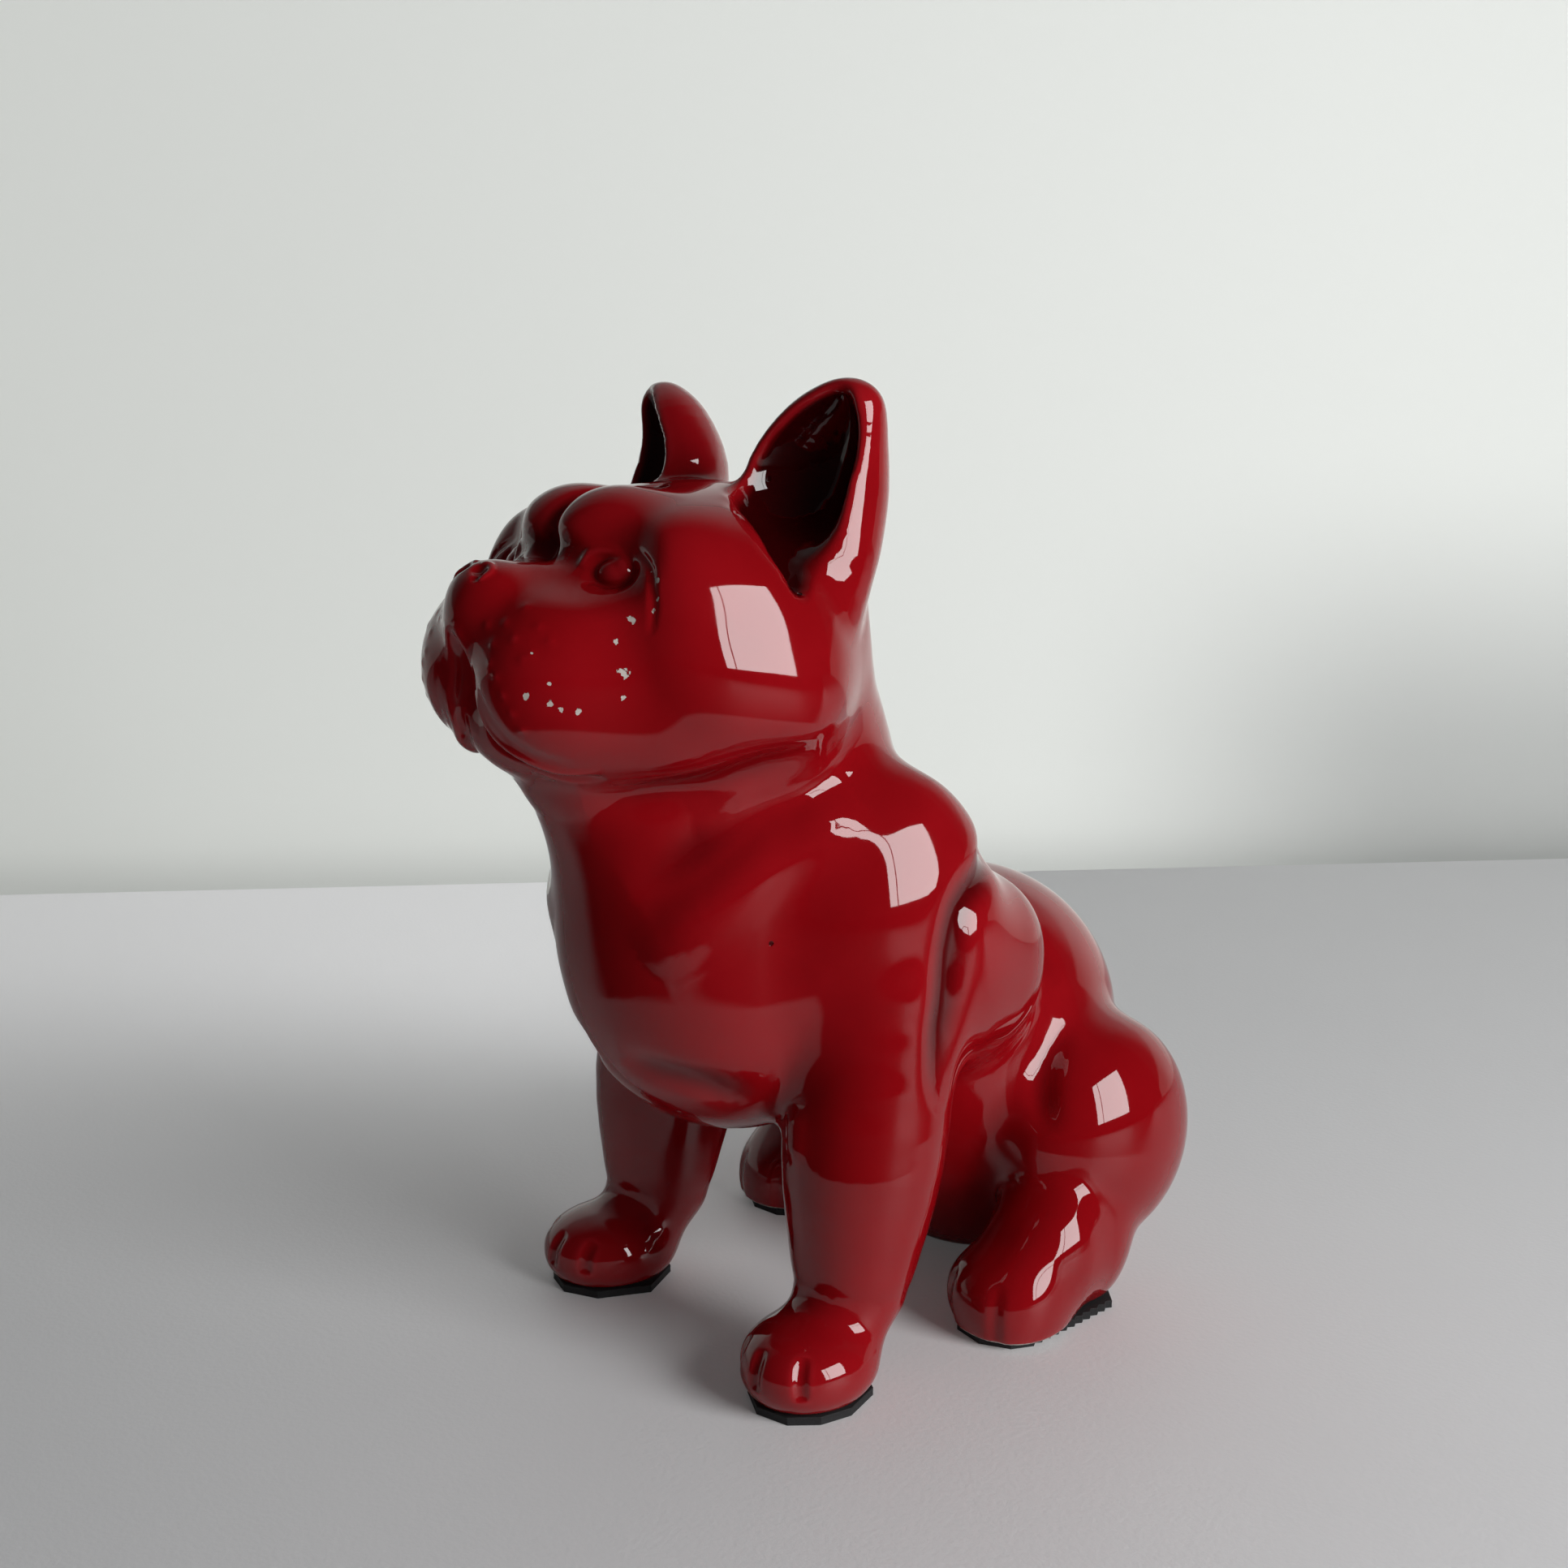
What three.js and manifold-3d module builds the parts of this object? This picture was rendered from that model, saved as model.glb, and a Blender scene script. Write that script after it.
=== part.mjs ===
// A seated bulldog figurine: one glazed slip-cast body standing on four hand-cut rubber pads.
// Millimetres. +Z is up, the dog looks along -Y, and x = 0 is its mirror plane.
import * as THREE from "three";
import Module from "manifold-3d";

// Driving dimensions
const PAD_THICKNESS = 2.2;
const PAD_MARGIN = 0.9;
const SNIP_PITCH = 3.4;
const SNIP_DEPTH = 1.0;
const SNIP_BOW = 0.3;
const GRID = 2.0;
const BODY_TRIANGLES = 12200;
const GROUND = { side: 400, depth: 40 };
const VENT = { radius: 5, depth: 12 };
const EAR_TURN = 35;
const PAW_TURN = 15;
const RIGHT_FOOT_BACK = 10;

// How smooth curves are cut up, how softly a limb's cones meet, and where a stroke stops counting.
const LIMB_PIECES = 4;
const LIMB_BLEND = 2;
const STROKE_PIECES = 5;
const REACH = 2.6;
const MODELLED_SKIN = 9;

// How the clay is sampled: the points in a block's side, how many blocks off it is left at one value,
// what stands for no clay yet, and what stands for zero.
const BLOCK = 4;
const FAR_BLOCKS = 1.6;
const NOTHING = 1000;
const NOT_QUITE_ZERO = 1e-6;

// How triangles are given up: what an edge's length costs, how far a face may turn,
// when the best point is well placed, and what stands for a face without area.
const LENGTH_COST = 1e-7;
const LEAST_TURN = 0.35;
const WELL_PLACED = 1e-4;
const NO_AREA = 1e-12;

// How a point is walked onto the surface: the rounds, the step that its slope is read over,
// its share of each move, and the flattest slope that is trusted.
const SETTLE = { rounds: 12, step: 0.5, share: 0.8, flattest: 0.2 };

// Where the main forms sit; everything below is placed from one of these.
const SKULL = [0, -31, 201];
const CHEST = [0, -17, 114];
const HIP = [0, 72, 50];
const WRIST = [43, -14.5, 26];
const TOE = [52, 35, 10.5];
const from = (base, x, y, z) => [base[0] + x, base[1] + y, base[2] + z];
const skull = (x, y, z) => from(SKULL, x, y, z);
const chest = (x, y, z) => from(CHEST, x, y, z);
const hip = (x, y, z) => from(HIP, x, y, z);
const MUZZLE = skull(0, -47.5, -10);
const EAR_TIP = skull(37.4, 19, 59);
const EYE = skull(21, -42.5, 14.5);
const PAW = from(WRIST, 2, -16, -16);
const HEEL = from(TOE, -2, 28.5, 0.5);

const PAW_RADII = [17.5, 20, 11.8];
const TOE_RADII = [16.5, 15, 12];
const HEEL_RADII = [12.5, 15.5, 12.5];
const SQUARENESS = 2.2;

// The clay ends at its base, under the level where the soles are cut.
// It is sampled in a box that lies well outside it.
const BASE = -4;
const HALF_WIDTH = TOE[0] + 26;
const LOW = [-HALF_WIDTH, SKULL[1] - 81, BASE - 6];
const HIGH = [HALF_WIDTH, HIP[1] + 54, SKULL[2] + 67];

const radians = THREE.MathUtils.degToRad;

// Smooth union of two distances, rounded over a width k, and the cut that mirrors it.
function join(a, b, k) {
  const h = Math.max(k - Math.abs(a - b), 0) / k;
  return Math.min(a, b) - (h * h * k) / 4;
}
const carve = (a, b, k) => -join(-a, b, k);

// A Catmull-Rom curve through points with any number of parts, in straight pieces.
function smooth(points, pieces) {
  if (points.length < 3) return points;
  const beyond = (end, inner) => end.map((v, part) => 2 * v - inner[part]);
  const all = [beyond(points[0], points[1]), ...points, beyond(points.at(-1), points.at(-2))];
  const path = [];
  for (let span = 1; span < all.length - 2; span++)
    for (let piece = 0; piece < pieces; piece++) {
      const t = piece / pieces;
      const at = all[span].map((p1, part) => {
        const [p0, p2, p3] = [all[span - 1][part], all[span + 1][part], all[span + 2][part]];
        const bend = 2 * p0 - 5 * p1 + 4 * p2 - p3;
        return 0.5 * (2 * p1 + (p2 - p0) * t + bend * t ** 2 + (3 * p1 - p0 - 3 * p2 + p3) * t ** 3);
      });
      path.push(at);
    }
  return [...path, points.at(-1)];
}

// Distance to an ellipsoid turned about +Z.
// It gets squarer as its powers grow from 2: one upwards, one on plan.
// Its lean raises it along its own y, and its tilt draws its sides in as they climb.
function lump(at, radii, { turn = 0, power = 2, plan = 2, lean = 0, tilt = 0 } = {}) {
  const c = Math.cos(radians(turn));
  const s = Math.sin(radians(turn));
  const least = Math.min(...radii);
  return (x, y, z) => {
    const px = x - at[0];
    const py = y - at[1];
    const along = py * c - px * s;
    const up = z - at[2] - lean * along;
    const q = [(px * c + py * s + tilt * up) / radii[0], along / radii[1], up / radii[2]];
    const length = Math.hypot(...q);
    const slope = Math.hypot(q[0] / radii[0], q[1] / radii[1], q[2] / radii[2]);
    if (slope < NOT_QUITE_ZERO) return -least;
    if (power === 2 && plan === 2) return ((length - 1) * length) / slope;
    const flat = (Math.abs(q[0]) ** plan + Math.abs(q[1]) ** plan) ** (power / plan);
    return (((flat + Math.abs(q[2]) ** power) ** (1 / power) - 1) * length) / slope;
  };
}

// How far p is from the segment a to b, and how far along it the nearest place is.
function toSegment(p, a, b) {
  const along = [b[0] - a[0], b[1] - a[1], b[2] - a[2]];
  const squared = along[0] ** 2 + along[1] ** 2 + along[2] ** 2;
  const dot = (p[0] - a[0]) * along[0] + (p[1] - a[1]) * along[1] + (p[2] - a[2]) * along[2];
  const t = Math.min(1, Math.max(0, dot / squared));
  const gap = Math.hypot(p[0] - a[0] - t * along[0], p[1] - a[1] - t * along[1], p[2] - a[2] - t * along[2]);
  return [gap, t];
}

// Distance to a chain of round cones along a smooth curve through points and radii.
function limb(stops) {
  const path = smooth(stops.map(([at, radius]) => [...at, radius]), LIMB_PIECES);
  return (x, y, z) => {
    let best = Infinity;
    for (let i = 1; i < path.length; i++) {
      const [gap, t] = toSegment([x, y, z], path[i - 1], path[i]);
      const radius = path[i - 1][3] + t * (path[i][3] - path[i - 1][3]);
      best = i === 1 ? gap - radius : join(best, gap - radius, LIMB_BLEND);
    }
    return best;
  };
}

// An ear form: a limb whose stops are across the ear, out of its opening and up, from the ear's tip.
function earForm(stops, width) {
  const c = Math.cos(radians(EAR_TURN));
  const s = Math.sin(radians(EAR_TURN));
  const chain = limb(stops.map(([across, out, up, radius]) => [[across / width, out, up], radius]));
  return (x, y, z) => {
    const px = x - EAR_TIP[0];
    const py = y - EAR_TIP[1];
    return chain((px * c + py * s) / width, px * s - py * c, z - EAR_TIP[2]);
  };
}

// The masses of half the dog, in the order in which clay would be added or cut away.
const masses = [
  // torso and ribs
  { form: lump(CHEST, [45, 51, 55]), blend: 10 },
  { form: lump(chest(0, 38, -15), [47, 40, 47]), blend: 14 },
  { form: lump(hip(0, -8, 20), [46, 54, 49]), blend: 16 },
  { form: lump(hip(0, 2, -16), [40, 37, 36]), blend: 14 },
  // neck and throat
  { form: limb([[chest(0, 8, 18), 40.5], [chest(0, -2.5, 54), 39.5], [chest(0, -12.5, 80), 35]]), blend: 14 },
  { form: limb([[chest(0, -17, 18), 31], [chest(0, -43.5, 52), 22]]), blend: 16 },
  // ribs, shoulder and foreleg
  { form: lump(chest(34.5, 49, -15), [21, 34, 29], { power: 2.2, plan: 2.2 }), blend: 12 },
  { form: lump(chest(36.5, 17, 5), [22.5, 31.5, 45], { turn: -12, plan: 2.3, tilt: 0.08 }), blend: 12 },
  { form: limb([[from(WRIST, -1, 11, 74), 22], [from(WRIST, 1, 4, 34), 21.5], [WRIST, 15]]), blend: 12 },
  { form: lump(PAW, PAW_RADII, { turn: PAW_TURN, power: SQUARENESS }), blend: 8 },
  // haunch, lower leg and foot
  { form: lump(hip(46, 5, -4), [23.5, 33, 34.5]), blend: 10 },
  {
    form: lump(from(TOE, 2.5, 5.5, 2), [14, 19, 21], { power: 2.6, plan: 2.6, lean: 0.7 }),
    blend: 7,
    foot: true,
  },
  { form: limb([[from(TOE, 2, 16, 11), 15], [from(TOE, 2, 27, 10), 14]]), blend: 8, foot: true },
  { form: lump(TOE, TOE_RADII, { power: SQUARENESS }), blend: 6, foot: true },
  { form: lump(HEEL, HEEL_RADII, { power: SQUARENESS }), blend: 12, foot: true },
  // skull, cheek, the flat temple over it, jaw, pouch of the lips and brow
  { form: lump(skull(0, -2, 0), [43.5, 37.5, 32], { power: 2.6, plan: 3 }), blend: 12 },
  { form: lump(skull(32, -14, -14), [14, 28, 22], { turn: -12 }), blend: 14 },
  {
    form: lump(skull(32.5, -12, 0), [16, 28, 23], { turn: -12, power: 3, plan: 3.6, tilt: 0.23 }),
    blend: 9,
  },
  { form: lump(skull(0, -31, -21), [30, 28, 18]), blend: 12 },
  { form: lump(skull(23.5, -33, -12), [15.5, 30, 22], { turn: -28 }), blend: 10 },
  { form: lump(skull(10, -33, 17.5), [14, 16, 14.5]), blend: 9 },
  // flews, chin, bridge and nose
  { form: lump(from(MUZZLE, 12, 0.5, -0.5), [19.5, 24.5, 23.5]), blend: 9 },
  { form: lump(from(MUZZLE, 0, -1.5, -14), [14, 18, 14]), blend: 4 },
  { form: lump(from(MUZZLE, 0, -8, 10), [13, 17, 15]), blend: 6 },
  { form: lump(from(MUZZLE, 0, -15.5, 18), [7, 5.5, 5]), blend: 8 },
  // ear, the soft way into it from the temple, then its hollow
  {
    form: earForm(
      [
        [0, 1, -7.5, 6.6],
        [-5, -1, -15, 10.7],
        [-9, -1.5, -27, 14.2],
        [-9, 3, -42, 13.4],
        [-8, 7, -55, 10],
      ],
      1.24,
    ),
    blend: 5,
  },
  { form: earForm([[-13, 17, -31, 5], [-9, 23, -41, 3]], 1.2), blend: 8, cut: true },
  {
    form: earForm(
      [
        [-1.5, 6.5, -4, 1.2],
        [-4, 6.5, -9.5, 4.6],
        [-7.8, 7, -16, 8.2],
        [-12.8, 8.5, -25, 10.8],
        [-9.6, 16, -34, 7.4],
        [-7.5, 23, -43, 4],
        [-6.4, 27, -50, 1.5],
      ],
      1.25,
    ),
    blend: 2.6,
    cut: true,
  },
];

function mass(x, y, z) {
  const side = Math.abs(x);
  let d = NOTHING;
  for (const { form, blend, cut, foot } of masses) {
    const value = form(side, foot && x < 0 ? y - RIGHT_FOOT_BACK : y, z);
    d = cut ? carve(d, value, blend) : join(d, value, blend);
  }
  return d;
}

// Moves a point of the right-hand half onto the surface of the masses.
function settle(point) {
  const { rounds, step, share, flattest } = SETTLE;
  let [x, y, z] = point;
  for (let round = 0; round < rounds; round++) {
    const d = mass(x, y, z);
    const slope = [
      mass(x + step, y, z) - mass(x - step, y, z),
      mass(x, y + step, z) - mass(x, y - step, z),
      mass(x, y, z + step) - mass(x, y, z - step),
    ].map((s) => s / (2 * step));
    const pull = (share * d) / Math.max(flattest, slope[0] ** 2 + slope[1] ** 2 + slope[2] ** 2);
    x -= pull * slope[0];
    y -= pull * slope[1];
    z -= pull * slope[2];
  }
  return [x, y, z];
}

// The crease behind the shoulder and down the back of the foreleg.
const SHOULDER_CREASE = [
  chest(46, 46, 27),
  chest(54, 34, 20),
  chest(59, 23, 13),
  chest(62, 18, -5),
  chest(62, 15, -20),
  chest(61, 12, -38),
];

// Lines pressed into the clay (depth above 0) or raised on it (below 0), each with its own width.
// A line fades in and out over the shares of its length in fade.
const strokes = [
  // furrow between the brows, and the stop above the muzzle
  {
    depth: 2.8,
    width: 3,
    points: [skull(0, -46, 21), skull(0, -38, 30), skull(0, -24, 34), skull(0, -6, 34)],
    fade: [0, 0.5],
  },
  {
    depth: 4,
    width: 3.6,
    points: [skull(0, -47, 20), skull(8, -47.5, 19), skull(16, -46.5, 17)],
    fade: [0, 0.3],
  },
  // eye socket, eye, upper lid, lower lid and the fold over the eye
  { depth: 3.4, width: 6, points: [from(EYE, -6, -4, 1.5), from(EYE, 5, 3, -3)], fade: [0.2, 0.2] },
  { depth: -2.4, width: 3, points: [from(EYE, -1.5, -1, 0), from(EYE, 2, 1.3, -1.5)], fade: [0, 0] },
  {
    depth: -0.8,
    width: 1.2,
    points: [
      from(EYE, -6.5, -3.5, 2.5),
      from(EYE, -3, -2, 4.8),
      from(EYE, 1, 0, 4.8),
      from(EYE, 4.5, 2.5, 2),
      from(EYE, 7, 5, -2.5),
    ],
  },
  { depth: -0.6, width: 1.4, points: [from(EYE, -4, -3.5, -4), from(EYE, 1, -1, -6.8), from(EYE, 6, 3, -6)] },
  {
    depth: 0.7,
    width: 1.6,
    points: [from(EYE, -8, -2, 7.5), from(EYE, -2, 2, 8.5), from(EYE, 5, 6, 5.5), from(EYE, 9.5, 8, -2)],
  },
  // groove round the cheek side of the muzzle
  { depth: 0.6, width: 4, points: [skull(33, -45, -8), skull(34, -43, -17), skull(30, -42, -27)] },
  // rim of the upper lip and the groove inside it
  {
    depth: -1.6,
    width: 2,
    points: [
      from(MUZZLE, 2.5, -25, 12),
      from(MUZZLE, 2.5, -25, 4),
      from(MUZZLE, 3.5, -24, -4),
      from(MUZZLE, 6, -21, -12),
      from(MUZZLE, 12, -15, -19),
      from(MUZZLE, 19, -5, -23),
      from(MUZZLE, 27, 1, -21),
    ],
    fade: [0.12, 0.2],
  },
  {
    depth: 3,
    width: 2,
    points: [
      from(MUZZLE, 0, -26, 13),
      from(MUZZLE, 0, -26, 4),
      from(MUZZLE, 0.5, -25, -5),
      from(MUZZLE, 3, -22, -14),
      from(MUZZLE, 9, -14, -22),
      from(MUZZLE, 18, -3, -27),
      from(MUZZLE, 27, 4, -25),
    ],
    fade: [0.06, 0.2],
  },
  // wing of the nostril
  {
    depth: 0.9,
    width: 1.2,
    points: [from(MUZZLE, 4.5, -20, 24), from(MUZZLE, 7, -18, 21), from(MUZZLE, 6, -20, 17.5)],
    fade: [0.2, 0.2],
  },
  // fold under the jaw and the roll of neck below it
  {
    depth: 2,
    width: 6,
    points: [chest(14, -60, 44), chest(28, -44, 48), chest(39, -32, 52), chest(46, -14, 60)],
  },
  { depth: -1.8, width: 6, points: [chest(30, -38, 38), chest(42, -22, 44), chest(45, -4, 54)] },
  // shoulder roll from the breast up to the neck
  {
    depth: 2.4,
    width: 8,
    points: [chest(19, -49, 19), chest(31, -37, 31), chest(40, -22, 42), chest(46, -2, 50)],
  },
  {
    depth: -3.2,
    width: 8,
    points: [chest(20, -47, 3), chest(32, -37, 16), chest(42, -15, 34), chest(47, 1, 45)],
  },
  // breast line over the forelegs
  {
    depth: 2.4,
    width: 5,
    points: [chest(6, -44, -26), chest(18, -41, -29), chest(27, -31, -33), chest(30, -22, -42)],
  },
  // shoulder crease, a broad one with a sharp bottom, then waist and front of the haunch
  { depth: 4.5, width: 5, points: SHOULDER_CREASE, fade: [0.1, 0.3] },
  { depth: 1.2, width: 1.4, points: SHOULDER_CREASE, fade: [0.15, 0.3] },
  { depth: 2, width: 6, points: [chest(30, 66, 18), chest(36, 72, -4), chest(44, 82, -22)] },
  { depth: 2, width: 4, points: [hip(46, -8, 31), hip(49, -18, 22), hip(52, -23, 14), hip(56, -24, 4)] },
  // point of the shoulder, and the small knob of the forearm
  { depth: -1.6, width: 4.5, points: [chest(44, -20, -8), chest(38, -24, -15)], fade: [0.3, 0.3] },
  { depth: -1.9, width: 3.6, points: [from(WRIST, -4, -16, 46), from(WRIST, -3.5, -18, 41)], fade: [0, 0] },
  // slope of the forepaw down to its toes, and the grooves between them
  { depth: 2, width: 8, points: [from(PAW, -9, -9, 10), from(PAW, 7, -12, 10)], fade: [0.3, 0.3] },
  ...[[-10, -16], [1, -19], [12, -13.5]].map(([across, forward]) => ({
    depth: 2,
    width: 1.5,
    points: [
      from(PAW, across - 1, forward + 2, 10),
      from(PAW, across, forward, 4),
      from(PAW, across + 0.5, forward, -2),
    ],
    fade: [0.5, 0.2],
  })),
  // toes of the hind foot
  ...[-9, 9].map((across) => ({
    depth: 0.9,
    width: 1.9,
    foot: true,
    points: [from(TOE, across, -11, 9), from(TOE, across, -14, 1), from(TOE, across, -14, -7)],
    fade: [0.5, 0],
  })),
].map(modelled);

// A stroke with its points laid on the masses along a smooth path, and its strength at each of them.
function modelled({ fade = [0.35, 0.35], ...stroke }) {
  const points = smooth(stroke.points.map(settle), STROKE_PIECES).map(settle);
  const strength = points.map((_, i) => {
    const share = i / (points.length - 1);
    const ease = (inward, over) => (over > 0 ? Math.sin((Math.min(1, inward / over) * Math.PI) / 2) : 1);
    return Math.min(ease(share, fade[0]), ease(1 - share, fade[1]));
  });
  const box = new THREE.Box3().setFromPoints(points.map((p) => new THREE.Vector3(...p)));
  return { ...stroke, points, strength, ball: box.getBoundingSphere(new THREE.Sphere()) };
}

// Whisker bumps on the flews and the two nostrils.
const marks = [
  ...[
    [12, -20, -8], [16, -17, -11], [20, -12, -13], [24, -7, -14], [16, -18, 1],
    [19, -17, -4], [22, -14, -8], [21, -17, 6], [24, -14, 2], [26, -12, -3],
  ].map((at) => ({ at: settle(from(MUZZLE, ...at)), depth: -0.4, width: 1.1 })),
  { at: settle(from(MUZZLE, 3.4, -23, 20.5)), depth: 2.2, width: 1.5 },
];

// The whole modelled surface: the masses, ended at their base, with their lines and marks.
function field(x, y, z) {
  let d = Math.max(mass(x, y, z), BASE - z);
  if (Math.abs(d) > MODELLED_SKIN) return d;
  const side = Math.abs(x);
  for (const { points, strength, depth, width, ball, foot } of strokes) {
    const back = foot && x < 0 ? y - RIGHT_FOOT_BACK : y;
    const away = Math.hypot(side - ball.center.x, back - ball.center.y, z - ball.center.z);
    if (away > ball.radius + REACH * width) continue;
    let near = Infinity;
    let power = 0;
    for (let i = 1; i < points.length; i++) {
      const [gap, t] = toSegment([side, back, z], points[i - 1], points[i]);
      if (gap < near) power = strength[i - 1] + t * (strength[i] - strength[i - 1]);
      near = Math.min(near, gap);
    }
    d += depth * power * Math.exp(-((near / width) ** 2));
  }
  for (const { at, depth, width } of marks) {
    const away = Math.hypot(side - at[0], y - at[1], z - at[2]);
    if (away < REACH * width) d += depth * Math.exp(-((away / width) ** 2));
  }
  return d;
}

// Samples the field on a grid, leaving blocks far from the surface at one value.
function sample(low, high) {
  const count = low.map((l, axis) => Math.ceil((high[axis] - l) / GRID) + 1);
  const value = new Float32Array(count[0] * count[1] * count[2]);
  const at = (i, j, k) => (i * count[1] + j) * count[2] + k;
  const read = (i, j, k) => field(low[0] + i * GRID, low[1] + j * GRID, low[2] + k * GRID);
  const half = (BLOCK - 1) / 2;
  const fill = (i, j, k) => {
    const centre = read(i + half, j + half, k + half);
    const far = Math.abs(centre) > FAR_BLOCKS * BLOCK * GRID;
    for (let a = i; a < Math.min(i + BLOCK, count[0]); a++)
      for (let b = j; b < Math.min(j + BLOCK, count[1]); b++)
        for (let c = k; c < Math.min(k + BLOCK, count[2]); c++)
          value[at(a, b, c)] = far ? centre : read(a, b, c) || NOT_QUITE_ZERO;
  };
  for (let i = 0; i < count[0]; i += BLOCK)
    for (let j = 0; j < count[1]; j += BLOCK) for (let k = 0; k < count[2]; k += BLOCK) fill(i, j, k);
  return { low, count, value, at };
}

// Marching tetrahedra: one closed surface round the negative samples.
function polygonise({ low, count, value, at }) {
  const corners = [[0, 0, 0], [1, 0, 0], [0, 1, 0], [1, 1, 0], [0, 0, 1], [1, 0, 1], [0, 1, 1], [1, 1, 1]];
  const tetrahedra = [[0, 1, 3, 7], [0, 3, 2, 7], [0, 2, 6, 7], [0, 6, 4, 7], [0, 4, 5, 7], [0, 5, 1, 7]];
  const offset = corners.map(([i, j, k]) => at(i, j, k));
  const vertices = [];
  const triangles = [];
  const seen = new Map();
  const place = (g, axis) => {
    const steps = [Math.floor(g / (count[1] * count[2])), Math.floor(g / count[2]) % count[1], g % count[2]];
    return low[axis] + steps[axis] * GRID;
  };
  const vertex = (a, b) => {
    const key = a < b ? a * value.length + b : b * value.length + a;
    if (!seen.has(key)) {
      const t = value[a] / (value[a] - value[b]);
      seen.set(key, vertices.length / 3);
      for (let axis = 0; axis < 3; axis++)
        vertices.push(place(a, axis) + t * (place(b, axis) - place(a, axis)));
    }
    return seen.get(key);
  };
  for (let i = 0; i < count[0] - 1; i++)
    for (let j = 0; j < count[1] - 1; j++)
      for (let k = 0; k < count[2] - 1; k++) {
        const base = at(i, j, k);
        const filled = offset.filter((o) => value[base + o] < 0).length;
        if (filled === 0 || filled === 8) continue;
        for (const tetrahedron of tetrahedra) {
          const p = tetrahedron.map((c) => base + offset[c]);
          const inner = p.filter((g) => value[g] < 0);
          const outer = p.filter((g) => value[g] >= 0);
          if (!inner.length || !outer.length) continue;
          const order = [...inner, ...outer].map((g) => p.indexOf(g));
          let swaps = 0;
          for (let a = 0; a < 4; a++) for (let b = a + 1; b < 4; b++) if (order[a] > order[b]) swaps++;
          let faces;
          if (inner.length === 1) faces = [outer.map((g) => vertex(inner[0], g))];
          else if (inner.length === 3) faces = [inner.map((g) => vertex(g, outer[0]))];
          else {
            const ring = [[0, 0], [0, 1], [1, 1], [1, 0]].map(([a, b]) => vertex(inner[a], outer[b]));
            faces = [[ring[0], ring[1], ring[2]], [ring[0], ring[2], ring[3]]];
          }
          for (const f of faces) triangles.push(...(swaps % 2 ? [f[0], f[2], f[1]] : f));
        }
      }
  return { vertices, triangles };
}

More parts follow.
